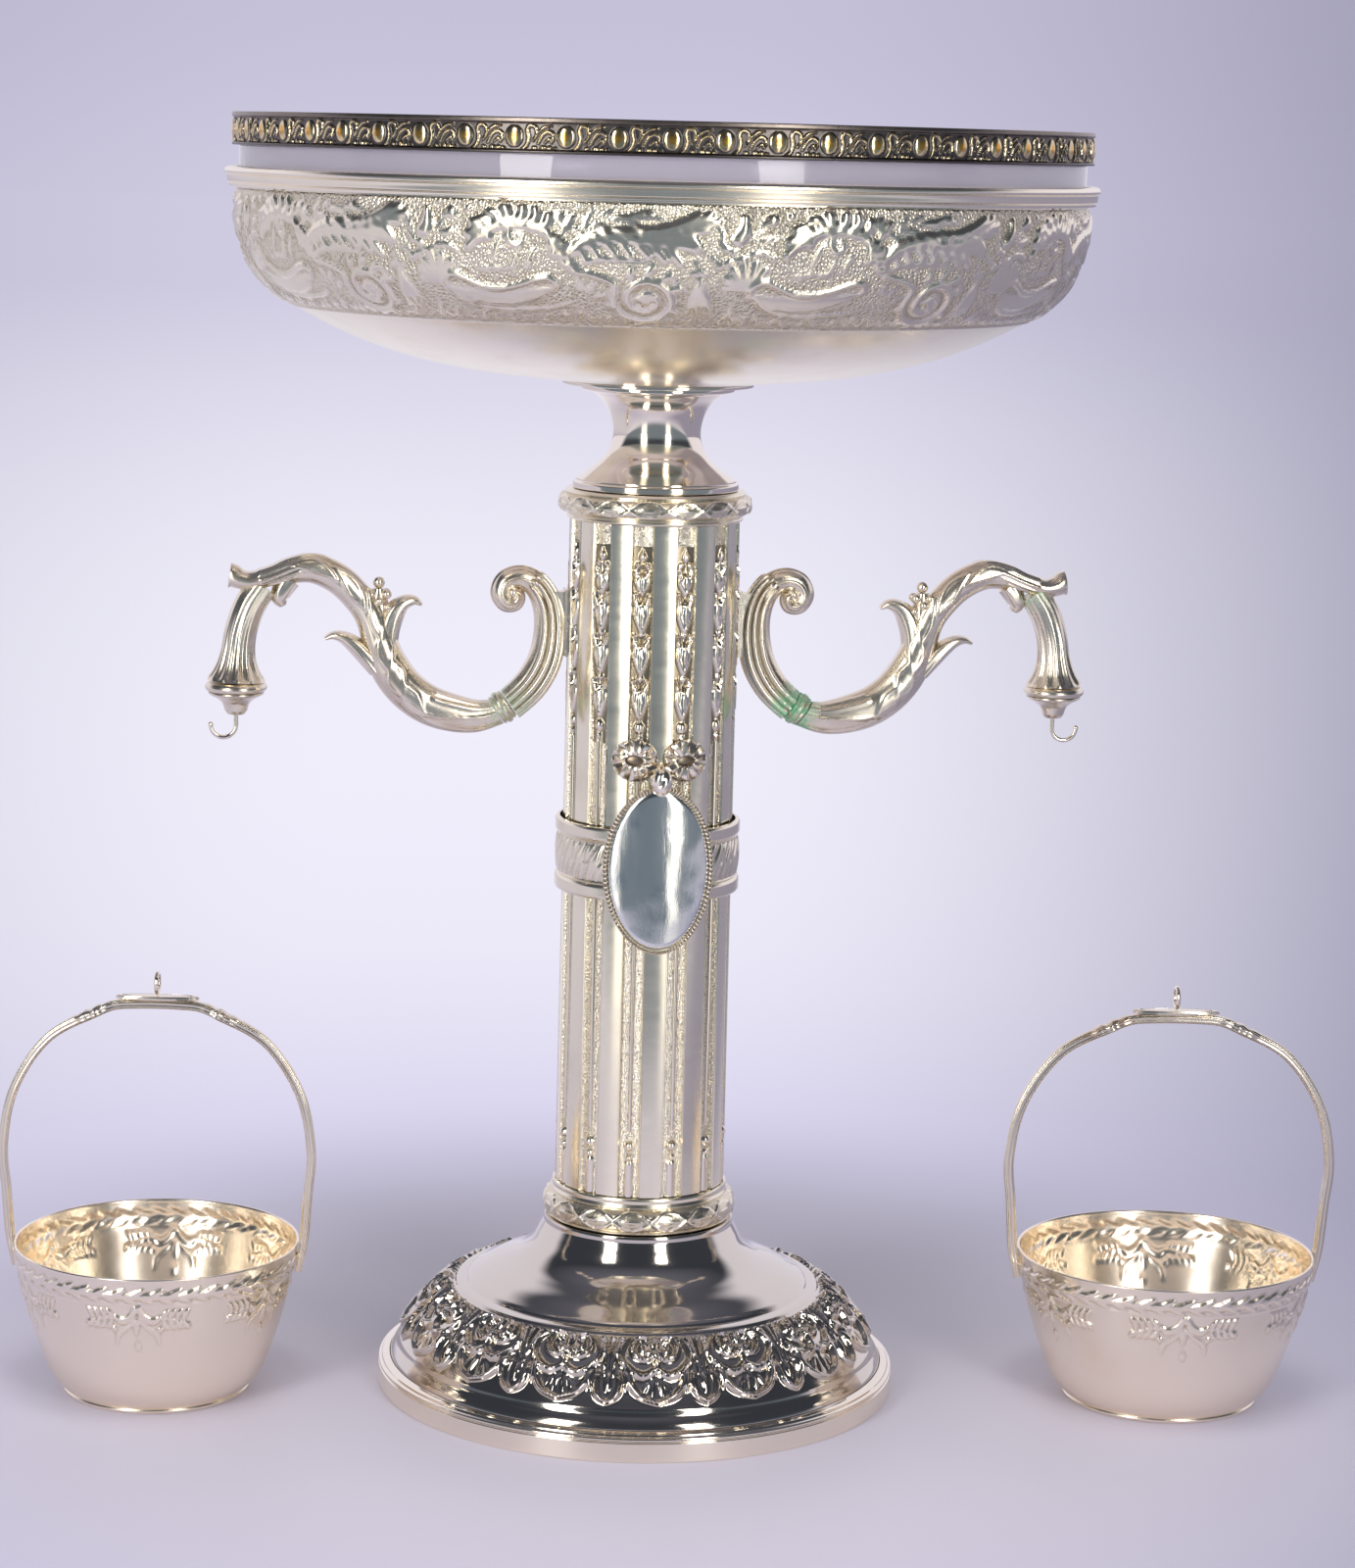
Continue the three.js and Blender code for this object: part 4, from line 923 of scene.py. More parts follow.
def collars():
    bottom = collar["lowerBottom"]
    top = bottom + 15.4
    band = outline([(38.6, bottom + 1.2), (40.4, bottom + 2.4, "c"), (41.2, bottom + 5.6, "c"),
                    (40.2, bottom + 9.0, "c"), (37.6, bottom + 10.9)], steps=10)
    low = outline([(20, bottom), (38.4, bottom, 0.3), (39.4, bottom + 0.5, 0.2), (38.6, bottom + 1.2)])
    high = outline([(37.6, bottom + 10.9), (38.0, bottom + 11.6, 0.2), (37.6, bottom + 12.4, 0.3),
                    (37.3, bottom + 13.0, 0.2), (37.5, bottom + 14.4, 0.3), (37.2, top, 0.2), (20, top)])
    reliefTurned("lowerCollar", low[:-1], band, high[1:], ribbonTorus(band, collar["lowerRise"]),
                 "lower_collar", collar["steps"])
    top = collar["upperTop"]
    bottom = top - 12.4
    band = outline([(37.8, bottom + 2.6), (40.0, bottom + 4.0, "c"), (40.4, bottom + 6.6, "c"),
                    (39.6, bottom + 9.4, "c"), (37.6, bottom + 10.6)], steps=9)
    low = outline([(rodBore, bottom), (36.7, bottom, 0.2), (37.2, bottom + 0.8, 0.3),
                   (36.6, bottom + 1.7, 0.2), (37.8, bottom + 2.6)])
    high = outline([(37.6, bottom + 10.6), (38.0, bottom + 11.2, 0.2), (37.2, top, 0.3), (rodBore, top)])
    reliefTurned("upperCollar", low[:-1], band, high[1:], ribbonTorus(band, collar["upperRise"]),
                 "upper_collar", collar["steps"])


def neck():
    z, top = span("neck")
    outside = outline([(13, z), (34.8, z, 0.3), (34.8, z + 2.6, 0.4), (33.6, z + 3.2, 0.2),
                       (33.6, z + 3.8, 0.2), (29.5, z + 6.8, "c"), (23.9, z + 11.0, "c"),
                       (20.1, z + 15.8, "c"), (18.3, z + 22.4, "c"), (19.6, top - 12.6, "c"),
                       (22.6, top - 7.0, "c"), (27.4, top - 2.8), (31.0, top - 2.3, 0.2),
                       (32.2, top - 1.6, 0.5), (32.2, top, 0.3), (13, top)], steps=7)
    turnedPiece("neck", outside, "silver", "silver", "neck", steps=192)
    z, top = span("bowl_seat_disc")
    turnedPiece("bowlSeatDisc", outline([(rodBore, z), (40, z, 0.35), (40, top, 0.35), (rodBore, top)],
                                        fillet=0.2), "silver", "silver", "bowl_seat_disc", steps=192)


collars()
neck()
say("collars and neck")


# Bowl: a mirror underside, a repousse band round the wall, a moulded wire on the lip
bowl = {
    "radius": 176.6, "sheet": 1.4, "base": span("bowl")[0], "depth": 83.1,
    "units": 9, "perUnit": 128, "unitDegree": 3.0, "firstUnit": -7.6, "bandLow": 461.0, "bandHigh": 508.0,
    "rise": 1.9, "rowHeight": 0.85, "few": 192,
}


def bowlWall():
    z, r, depth = bowl["base"], bowl["radius"], bowl["depth"]
    return smoothThrough([(43, z), (r * 0.51, z + depth * 0.07), (r * 0.668, z + depth * 0.158),
                          (r * 0.8, z + depth * 0.277), (r * 0.9, z + depth * 0.405),
                          (r * 0.957, z + depth * 0.535), (r * 0.987, z + depth * 0.7),
                          (r * 0.996, z + depth)], 24)


def bandField(s, t, pitch):
    # s runs round the bowl from a point under the long leaf's tip, t up the wall from the plain line
    work = Relief(s, t, pitch, bowl["rise"])
    longLeaf(work)
    scrollUnderLeaf(work)
    shellAndRim(work)
    openFlower(work)
    podsAndBerries(work)
    sprigs(work)
    return work.height


def longLeaf(work):
    # a broad back from its root, two curled ends, lobes hanging under it
    work.stroke([(-34, 35.5), (-31, 39), (-25, 42), (-17, 43.6), (-7, 44.8), (3, 46)],
                (1.6, 2.6, 3.0, 3.2, 2.6, 1.4), ribs=3)
    work.stroke([(-8, 45), (3, 47), (11, 50.4), (14, 52.6)], (0.8, 1.9, 2.0, 0.8), ribs=1)
    work.stroke([(-2, 45), (8, 47.6), (15, 50.6), (18.6, 52.4)], (0.8, 2.0, 2.1, 1.0), 0.95, ribs=1)
    work.stroke([(0, 44.6), (9, 46), (17, 48.4), (21.6, 49.6)], (0.8, 1.8, 1.9, 0.8), 0.9, vein=0.3)
    work.stroke([(6, 45), (13, 45.6), (19, 46)], (0.6, 1.5, 0.6), 0.8)
    work.stroke([(-12, 41.8), (-2, 42.4), (6, 43.4), (11, 42.8), (14.6, 39.4)], (1.2, 1.8, 2.4, 2.2, 1.0),
                vein=0.3)
    work.stroke([(-2, 40.6), (6, 40.4), (11, 39.4), (13, 37.6)], (0.8, 1.6, 1.5, 0.6), 0.8)
    for root, tip, wide in (((-30, 38), (-27.6, 33.4), 1.5), ((-27, 40.2), (-22.6, 35.2), 1.9),
                            ((-22, 41.2), (-16.8, 36.8), 1.9), ((-16, 41.8), (-11.0, 36.4), 2.0),
                            ((-10.4, 41.8), (-4.6, 36.0), 2.1), ((-5, 41.4), (1.6, 34.6), 2.1),
                            ((1, 40.4), (7.4, 33.4), 2.0)):
        bend = ((root[0] + tip[0]) / 2 - 0.3, (root[1] + tip[1]) / 2 + 0.9)
        work.stroke([root, bend, tip], (0.8, wide, wide * 0.7), 0.8, vein=0.35)
        work.dome(tip, wide * 0.75, 0.85)
    work.curl((-34.5, 33.5), 90, 1.2, 3.0, 1.1, 0.8)
    work.stroke([(-34, 30.5), (-26, 34), (-14, 34.6), (-3, 33.2)], (0.7, 1.4, 1.2, 0.4), 0.45)


def scrollUnderLeaf(work):
    # a leafy scroll that winds in under the long leaf
    work.curl((-6.0, 17.4), 150, 2.1, 13.0, 1.9, 0.85, tail=[(-33, 29.5), (-27, 28.6), (-21, 26.6)])
    for turn, long in ((118, 4.6), (88, 5.2), (60, 5.0), (30, 4.4), (200, 4.2), (232, 4.6), (265, 4.6),
                       (300, 4.6), (335, 4.2)):
        a = math.radians(turn)
        x, y = -6.0 + 12.2 * math.cos(a), 17.4 + 11.4 * math.sin(a)
        out = math.radians(turn - 38)
        tip = (x + long * math.cos(out), y + long * math.sin(out))
        work.stroke([(x, y), ((x + tip[0]) / 2, (y + tip[1]) / 2), tip], (1.1, 1.7, 0.6), 0.75, vein=0.3)
    work.dome((-6.0, 17.0), 2.4, 0.9, dimple=0.5)
    for k in range(5):
        turn = math.radians(90 + 72 * k)
        work.dome((-6.0 + 3.4 * math.cos(turn), 17.0 + 3.4 * math.sin(turn)), 1.5, 0.7)
    for x, y, lean in ((-27, 22.5, 60), (-31, 24.0, 100), (-23.6, 19.0, 30)):
        a = math.radians(lean)
        work.stroke([(x - 3 * math.cos(a), y - 3 * math.sin(a)), (x, y),
                     (x + 3 * math.cos(a), y + 3 * math.sin(a))], (0.4, 1.5, 0.4), 0.6, vein=0.4)


def shellAndRim(work):
    # a scalloped shell under a row of beads, over a boat-shaped rim; a bell husk on its left
    for k, x in enumerate((12.0, 14.4, 16.6)):
        work.dome((x, 29.6 + (k == 1) * 0.9), 1.1, 0.9)
    for x, low in ((10.6, 9.5), (13.6, 7.0), (17.0, 6.6), (20.4, 9.0)):
        work.stroke([(14.6, 28.4), ((14.6 + x) / 2, 19), (x, low)], (0.7, 1.5, 0.6), 0.7, vein=0.2)
    beads = smoothThrough([(21.5, 32.6), (25.0, 34.6), (29.6, 36.0), (34.0, 37.8), (38.4, 38.0),
                           (41.8, 36.0)], 2)
    for k, (x, y) in enumerate(beads):
        work.dome((x, y), 1.0 if k % 2 else 1.25, 0.9)
    for turn, long in ((175, 8.0), (150, 9.4), (125, 10.6), (100, 11.4), (76, 11.6), (52, 11.2), (28, 9.6)):
        a = math.radians(turn)
        tip = (32.5 + long * math.cos(a) * 0.95, 23.5 + long * math.sin(a) * 0.95)
        work.stroke([(32.5, 22.5), tip], (0.7, 1.9), 0.55)
    work.stroke([(33.6, 19), (34.4, 24), (38.2, 26.9), (43.6, 25.2), (50, 22.2), (58, 21.6), (66, 23.4),
                 (73, 26), (78, 26.4), (80.2, 24), (77.6, 20.4)],
                (0.5, 1.0, 1.3, 1.2, 1.2, 1.2, 1.2, 1.4, 1.5, 1.0, 0.4), steps=3)
    work.stroke([(36.4, 21), (42, 17.4), (51, 16.4), (60, 16.2), (70, 18.6), (76.6, 22)],
                (1.6, 4.2, 5.0, 5.0, 4.0, 1.4), 0.62, ribs=3)
    work.ridge([(35.6, 20.5), (40, 14.6), (46.4, 11.4), (56, 10.2), (68, 11.0), (78, 12.4), (84.6, 15.4)],
               0.9, 0.8)
    work.stroke([(44, 15), (52, 13.8), (61, 14.2), (69, 16.6)], (0.4, 1.0, 0.9, 0.3), 0.75)


def openFlower(work):
    # petals round a curled leaf, with a serrated edge on the left
    for points, wide in (([(56, 41), (51, 41.6), (46.4, 37.6)], 2.3),
                         ([(56, 43), (51, 44.4), (46.6, 42.4)], 2.3),
                         ([(57, 45), (53, 47.6), (48.6, 46.8)], 2.2),
                         ([(60, 46.4), (57.6, 50.4), (55.4, 50.6)], 2.2),
                         ([(63, 47.4), (62.4, 51.4), (61.4, 52.8)], 2.6),
                         ([(67, 47), (68.6, 51.4), (68.4, 53.0)], 2.2),
                         ([(70, 46), (74.0, 50.4), (73.2, 52.4)], 2.2),
                         ([(72, 44.6), (78, 47.4), (78.2, 50.0)], 2.0)):
        work.stroke(points, (1.0, wide, wide * 0.6), 0.95, vein=0.3)
        work.dome(points[-1], wide * 0.75, 0.95)
    work.stroke([(81, 38.6), (79, 43), (73, 46.2), (65, 47.2), (57, 45.4), (51, 41.6)],
                (0.8, 1.8, 2.6, 3.0, 2.6, 1.2), ribs=3)
    work.curl((66.4, 41.6), 60, 1.3, 4.6, 1.1, 0.8, tail=[(80.4, 39.6), (76.6, 43.0), (71.6, 44.8)])
    for a, b, c in (((60.4, 42), (57.6, 36.6), (56.2, 32)), ((66.6, 36.4), (64.6, 33), (64.6, 29.6)),
                    ((73, 38), (70, 33), (69, 29.4))):
        work.stroke([a, b, c], (0.9, 1.3, 0.5), 0.55, vein=0.3)
    for x, y in ((50.6, 29.6), (53.2, 29.2), (55.6, 30.2), (58.0, 30.0), (60.6, 29.6), (62.8, 30.4)):
        work.dome((x, y), 1.2, 0.7)


def podsAndBerries(work):
    work.stroke([(30, 50), (29.8, 46.4), (28.2, 43.4), (25.2, 43)], (1.1, 2.8, 3.2, 0.8))
    work.dome((30.0, 50.8), 1.7)
    work.dome((40.4, 50.2), 2.6, dimple=0.55)
    work.dome((37.4, 48.8), 1.3, 0.8)
    work.dome((47.4, 51.8), 1.5, 0.9)
    work.dome((53.4, 53.2), 0.9, 0.6)
    for x, y, r in ((21.2, 46.8, 1.1), (22.0, 44.4, 1.3), (22.0, 41.8, 1.3), (23.6, 39.6, 1.5),
                    (26.4, 38.4, 1.5)):
        work.dome((x, y), r, 0.85)
    for a, b, c in (((33, 44), (36, 46), (38, 46.2)), ((33.4, 42.8), (37, 43), (40.4, 44.6)),
                    ((36.6, 40.6), (39.6, 43.0), (43.2, 44.4)), ((16, 37.4), (19.6, 35.4), (23.4, 33.2)),
                    ((3, 29), (6, 25.6), (9, 23.2)), ((11.4, 35), (13.4, 33), (14.4, 32))):
        work.stroke([a, b, c], (0.3, 0.9, 0.3), 0.6)


def sprigs(work):
    # small leaves that fill the ground, upper left and along the foot of the band
    leaves = (((-36.4, 44), (-38.4, 48.4), (-41.4, 51.6), 1.3),
              ((-36.2, 44), (-36.6, 49), (-36.0, 53.0), 1.3),
              ((-35.6, 43.8), (-33.8, 47.6), (-31.6, 50.4), 1.2),
              ((-29, 46.6), (-26.6, 50), (-25.4, 53.6), 1.1),
              ((-24, 49.4), (-20.6, 51.6), (-17.4, 52.6), 1.0),
              ((-20, 49.2), (-14.4, 49.8), (-8.6, 47.6), 1.5),
              ((-15, 50.2), (-10, 51.0), (-6.4, 53.2), 1.2),
              ((-9, 50), (-4.6, 50.6), (0.4, 49.4), 1.3),
              ((-28, 45.8), (-23.6, 47.4), (-19.6, 46.6), 1.1),
              ((-34, 46), (-31.8, 45.4), (-29.8, 43.4), 1.2),
              ((-29.6, 50.6), (-28.0, 47.0), (-29.4, 43.6), 0.6),
              ((-5.4, 49.6), (-5.4, 52), (-3.6, 53.6), 0.9),
              ((83.6, 45), (86.6, 48.8), (88.2, 50.4), 1.7),
              ((82, 44.8), (82.2, 49.6), (81.0, 53.0), 1.0))
    for a, b, c, wide in leaves:
        work.stroke([a, b, c], (0.35, wide, 0.35), 0.7, vein=0.45)
    for turn in range(5):
        a = math.radians(90 + 72 * turn)
        work.dome((-38.4 + 2.6 * math.cos(a), 38.6 + 3.0 * math.sin(a)), 2.2, 0.8)
    work.dome((-38.4, 38.6), 1.4)
    for x, tall, lean in ((-40, 8, 2), (-34, 10, 3), (-28, 7, -2), (-22, 6, 2), (-15, 5.4, 3), (-9, 4.6, -3),
                          (-2, 4.6, 3), (4, 5.4, -3), (11, 4.8, 2), (25, 9, 2), (29, 12, -2), (33, 8, 2),
                          (39.6, 7.6, -2), (45, 6.4, 3), (51, 5.4, -3), (58, 5.4, 3), (65, 5.6, -3),
                          (72, 6.0, 3)):
        work.stroke([(x, 3.6), (x + lean * 0.4, 3.6 + tall * 0.5), (x + lean, 3.6 + tall)], (0.6, 1.3, 0.35),
                    0.6, vein=0.35)
        work.stroke([(x, 3.6), (x - lean * 0.9, 3.6 + tall * 0.35), (x - lean * 1.7, 3.6 + tall * 0.6)],
                    (0.5, 0.9, 0.3), 0.45)


def bowlPiece():
    wall, few = bowlWall(), bowl["few"]
    below, above = wall[wall[:, 1] <= bowl["bandLow"]], wall[wall[:, 1] >= bowl["bandHigh"]]
    band = wall[(wall[:, 1] > bowl["bandLow"]) & (wall[:, 1] < bowl["bandHigh"])]
    run = runOf(band)
    levels = np.linspace(0, run[-1], int(run[-1] / bowl["rowHeight"]))
    band = np.stack([np.interp(levels, run, band[:, 0]), np.interp(levels, run, band[:, 1])], 1)
    count = bowl["units"] * bowl["perUnit"]
    pitch = 360 / bowl["units"] * bowl["unitDegree"]
    s = np.arange(bowl["perUnit"]) / bowl["perUnit"] * pitch
    fade = np.clip(np.minimum(levels - 0.8, levels[-1] - levels) / 1.2, 0, 1)[:, None]
    field = softened(bandField(s[None, :], levels[:, None], pitch) * fade, 1)
    line = 0.7 * np.exp(-((levels - 0.9) / 0.55) ** 2)[:, None]
    field = np.maximum(np.tile(field, (1, bowl["units"])), line)
    field = np.roll(field, int(round(bowl["firstUnit"] / 360 * count)), axis=1)
    outside = np.vstack([[(rodBore, bowl["base"])], below[::6], band[::10], above[::4], wall[-1:]])
    inside = leftOf(outside, bowl["sheet"])[::-1]
    below = np.vstack([[(rodBore, bowl["base"])], below])
    ground = np.clip(1 - field / (bowl["rise"] * 0.3), 0, 1) * np.clip(fade * 3, 0, 1)
    # painted shade and tarnish at steep edges, and a little on the low ground
    recess = np.clip(edgeShade(field, bowl["rowHeight"], 0.9) + 0.16 * ground, 0, 1)
    reliefPiece("bowlShell", around(below, few), around(band, count, field),
                around(above, few) + around(inside, few), "chasedSilver", "chased_silver", "bowl",
                recess=recess, ground=ground)


def bowlRim():
    bottom, top = span("bowl_rim")
    inner, r = bowl["radius"] + 0.3, 180.0
    edge = bowl["radius"] - 1.0
    profile = outline([
        (inner, bottom), (inner + 1.2, bottom, 0.2), (r - 1.8, bottom + 0.5, 0.3),
        (r - 1.5, bottom + 1.2, 0.3), (r - 1.9, bottom + 1.5, 0.1), (r - 1.2, bottom + 1.9, 0.3),
        (r - 1.0, bottom + 3.4, 0.6), (r - 0.6, bottom + 4.6, 0.5), (r - 1.0, bottom + 4.9, 0.1),
        (r - 0.1, bottom + 5.3, 0.3), (r, top - 1.6, 0.5), (r - 0.5, top - 0.6, 0.5), (r - 2.0, top, 0.6),
        (edge, top, 0.2), (edge, top - 0.8), (inner, top - 0.8)])
    turnedPiece("bowlLip", profile, "lipSilver", "silver", "bowl_rim", steps=384)


bowlPiece()
bowlRim()
say("bowl")


# Glass liner and its gallery strip
lining = {
    "wall": 3.2, "gap": 0.3, "footRadius": 112.0, "stripRadius": 177.1, "repeats": 56, "perRepeat": 52,
    "firstStone": -6.5,
}


def linerPiece():
    top = span("liner")[1]
    seat = leftOf(bowlWall(), bowl["sheet"] + lining["gap"])
    wall = seat[seat[:, 0] > lining["footRadius"]][::3]
    floorLevel = wall[0][1]
    edge = wall[-1][0]
    outside = np.vstack([[(0, floorLevel)], [(lining["footRadius"] - 4, floorLevel)], wall,
                         [(edge, top - 0.8)]])
    inside = leftOf(outside, lining["wall"])
    inside[0] = (0, floorLevel + lining["wall"])
    lip = [(edge - 0.4, top - 0.1), (edge - 1.6, top), (edge - lining["wall"] + 0.4, top - 0.1)]
    inside[-1] = (edge - lining["wall"], top - 0.8)
    profile = np.vstack([outside, lip, inside[::-1]])
    heap = Heap()
    heap.rings(around(profile, 288))
    heap.piece("linerGlass", "glass", "liner", "glass", "liner", sharp=50)


def galleryField(s, t, pitch):
    # an oval stone, a double hook on its right and a curled leaf on its left
    work = Relief(s, t, pitch)
    work.dome((0, 0), 3.4, 1.0, squeeze=1.2)
    work.ridge([(-1.4, -5.0), (1.8, -5.3), (4.6, -3.6), (5.6, -0.4), (5.1, 2.4), (6.0, 4.0), (8.2, 3.4),
                (8.8, 0.8), (7.4, -1.4)], 0.62, 0.85)
    work.ridge([(-10.6, -2.6), (-8.6, 0.8), (-6.6, 1.8), (-4.9, 0.8), (-4.9, -1.4)], 0.62, 0.85)
    work.ridge([(-10.9, 1.2), (-8.2, 3.4), (-5.4, 3.9)], 0.5, 0.7)
    work.ridge([(-8.0, -2.2), (-6.2, -0.8), (-5.4, -2.4)], 0.45, 0.6)
    for x, y, r in ((-8.6, -4.2, 1.1), (-6.4, -4.3, 1.0), (-4.4, -4.5, 0.8), (7.8, -4.2, 0.8)):
        work.dome((x, y), r, 0.8)
    return work.height


def galleryStrip():
    bottom, top = span("liner_rim")
    outer = lining["stripRadius"]
    glassOut = leftOf(bowlWall(), bowl["sheet"] + lining["gap"])[-1][0]
    glassIn = glassOut - lining["wall"]
    low = outline([(glassOut + 0.3, bottom), (outer - 0.2, bottom, 0.3), (outer, bottom + 0.9, 0.3),
                   (outer - 0.9, bottom + 1.4, 0.1), (outer - 1.0, bottom + 1.7)])
    high = outline([(outer - 1.0, top - 2.5), (outer - 0.9, top - 2.2, 0.1), (outer, top - 1.7, 0.3),
                    (outer - 0.2, top, 0.5), (glassIn - 1.3, top, 0.3), (glassIn - 1.3, top - 4, 0.3),
                    (glassIn - 0.3, top - 4), (glassIn - 0.3, top - 1.2), (glassOut + 0.3, top - 1.2)])
    levels = np.linspace(bottom + 1.7, top - 2.5, 26)
    band = np.stack([np.full_like(levels, outer - 1.0), levels], 1)
    pitch = 2 * math.pi * outer / lining["repeats"]
    s = (np.arange(lining["perRepeat"]) / lining["perRepeat"] - 0.5) * pitch
    field = galleryField(s[None, :], (levels - (levels[0] + levels[-1]) / 2)[:, None], pitch)
    field = np.tile(np.clip(field, 0, 1.0), (1, lining["repeats"]))
    count = field.shape[1]
    start = lining["firstStone"] - 180 / lining["repeats"]
    field = np.roll(field, int(round(start / 360 * count)), axis=1)
    few = count // 8
    plainLow, plainHigh = around(low[:-1], few), around(high[1:], few)
    rings = plainLow + around(band, count, field) + plainHigh
    rise = np.concatenate([np.full(len(plainLow) * few, -0.4), (field / 0.8).ravel(),
                           np.full(len(plainHigh) * few, -1.0)])
    heap = Heap()
    heap.rings(rings, loop=True, rise=rise)
    heap.piece("galleryStrip", "gilt", "liner", "gilt_gallery", "liner_rim", sharp=60)


linerPiece()
galleryStrip()
say("liner")


# Column: plain strips between sunk channels, with drops of husks in the upper part of each channel
column = {
    "bottom": span("column")[0], "top": span("column")[1], "footRadius": 36.0, "topRadius": 35.3, "wall": 3.9,
    "channels": 12, "depth": 1.1, "share": 0.45, "lip": 0.28, "dropRise": 1.75, "dropHalf": 3.9,
    "ribHalf": 1.3, "dropLevels": (283, 366), "ribLevels": (119, 284), "rodTop": 119.5,
}


def columnShell():
    c = column
    pitch = 2 * math.pi / c["channels"]
    strip = pitch * c["share"]
    # one pitch: (turn, depth) across a plain strip, over its lipped edge, down the channel and up again
    flat = [(share * strip, 0.0) for share in (-0.5, -0.3, -0.1, 0.1, 0.3, 0.5)]
    down = [(strip / 2 + past, deep) for past, deep in (
        (0.004, 0.0), (0.010, -c["lip"]), (0.018, -c["lip"]), (0.024, 0.1), (0.034, c["depth"]),
        (0.06, c["depth"] + 0.12), (0.1, c["depth"] + 0.06), (0.13, c["depth"]))]
    turns, depths = np.array(sorted(flat + down + [(pitch - turn, deep) for turn, deep in down])).T
    angle = (np.arange(c["channels"])[:, None] * pitch + turns[None, :]).ravel() - math.pi / 2
    levels = np.concatenate([[c["bottom"], c["bottom"] + 0.5], np.linspace(c["bottom"] + 4, c["top"] - 4, 60),
                             [c["top"] - 1.2, c["top"]]])
    rings = []
    for z in levels:
        share = (z - c["bottom"]) / (c["top"] - c["bottom"])
        r = c["footRadius"] + (c["topRadius"] - c["footRadius"]) * share - np.tile(depths, c["channels"])
        rings.append(np.stack([r * np.cos(angle), r * np.sin(angle), np.full_like(angle, z)], 1))
    inner = c["footRadius"] - c["wall"]
    inside = [np.stack([inner * np.cos(angle), inner * np.sin(angle), np.full_like(angle, z)], 1)
              for z in (c["top"], c["bottom"])]
    ground = np.tile(depths > 0.9, (len(levels), c["channels"])) * 1.0
    # painted shade and tarnish down in the channels
    recess = np.tile((depths > 0.05) & (depths < 1.2), (len(levels), c["channels"])) * 0.55
    heap = Heap()
    bare = np.zeros(2 * len(angle))
    heap.rings(rings + inside, loop=True, ground=np.concatenate([ground.ravel(), bare]),
               recess=np.concatenate([recess.ravel(), bare]))
    heap.piece("columnShell", "columnSilver", "stand", "silver", "column", sharp=40)


def addStrip(heap, levels, half, steps, draw, high=1.0):
    # a closed strip of relief on a channel's floor, facing -Y at x = 0, with what draw puts on it
    across = np.linspace(-half, half, steps)
    x, z = np.meshgrid(across, levels)
    work = Relief(x, z, high=high)
    draw(work)
    rows, cols = x.shape
    base = column["footRadius"] - column["depth"] - 0.55
    front, back = (np.stack([x, -np.sqrt(np.maximum(reach ** 2 - x ** 2, 1)), z], -1).reshape(-1, 3)
                   for reach in (base + work.height, base - 0.5))
    index = np.arange(rows * cols).reshape(rows, cols)
    face = np.stack([index[:-1, :-1], index[:-1, 1:], index[1:, 1:], index[1:, :-1]], -1).reshape(-1, 4)
    edge = np.concatenate([index[0, :-1], index[:-1, -1], index[-1, :0:-1], index[:0:-1, 0]])
    far = rows * cols
    side = np.stack([np.roll(edge, -1), edge, edge + far, np.roll(edge, -1) + far], 1)
    # painted shade and tarnish on the strip's low ground, full on its hidden back
    recess = np.clip(1 - work.height.ravel() / 1.3, 0, 1) * 0.8
    heap.add(np.vstack([front, back]), [face, face[:, ::-1] + far, side],
             recess=np.concatenate([recess, np.ones(far)]))


def husk(work, top, wide, tall):
    # a tulip: two flared leaves with a ridge between them, over a round foot
    for way in (-wide, wide):
        work.stroke([(0, top - tall), (way * 0.5, top - tall * 0.55), (way * 0.62, top - tall * 0.25),
                     (way, top)], (wide * 0.34, wide * 0.5, wide * 0.34, wide * 0.12), vein=0.2)
        work.dome((way * 0.86, top + 0.3), wide * 0.26, 0.9)
    work.stroke([(0, top - tall), (0, top - tall * 0.5), (0, top - tall * 0.12)],
                (wide * 0.16, wide * 0.42, wide * 0.1), 1.15)
    work.dome((0, top - tall * 0.98), wide * 0.3)


def husks(work):
    work.stroke([(0, 284), (0, 364.5)], (0.45, 0.35), 1 / work.high)
    work.dome((0, 361.6), 1.25, squeeze=1.7)
    for x in (-1.9, 1.9):
        work.dome((x, 358.2), 1.0, 0.85)
    husk(work, 356.0, 3.1, 9.2)
    for top in (345.5, 328.0, 309.5):
        husk(work, top, 3.5, 14.2)
        work.dome((0, top + 1.6), 1.3, 0.85)
    work.dome((0, 290.6), 2.0, squeeze=1.3)
    work.dome((0, 286.4), 1.1, 0.9)


def rodAndBeads(work):
    work.stroke([(0, 88), (0, 104.5)], (2.2, 2.2), 1.7)
    work.dome((0, 112.4), 2.4, 2.5)
    work.dome((0, 107.4), 1.6, 2.1)


def rib(work):
    work.stroke([(0, 110), (0, 290)], (0.95, 0.95), 1.2)


def columnDrops():
    # in each channel a drop of husks at its top, a rod with two beads at its foot, a rib between them
    c = column
    heap = Heap()
    addStrip(heap, np.linspace(*c["dropLevels"], 118), c["dropHalf"], 15, husks, c["dropRise"])
    addStrip(heap, np.linspace(c["bottom"] + 0.2, c["rodTop"], 64), c["dropHalf"], 15, rodAndBeads)
    addStrip(heap, np.linspace(*c["ribLevels"], 60), c["ribHalf"], 7, rib)
    unit = heap.thing("dropUnit", 60)
    drops = ringOf("columnDrops", unit, c["channels"], 180 / c["channels"], finishes["dropSilver"])
    placed(drops, "stand", "silver")


columnShell()
columnDrops()
say("column")


# Belt: two polished bands and a chased one between them
belt = {"bottom": span("belt")[0], "top": span("belt")[1], "bore": 37.3, "radius": 39.2, "steps": 480,
        "leaves": 15}


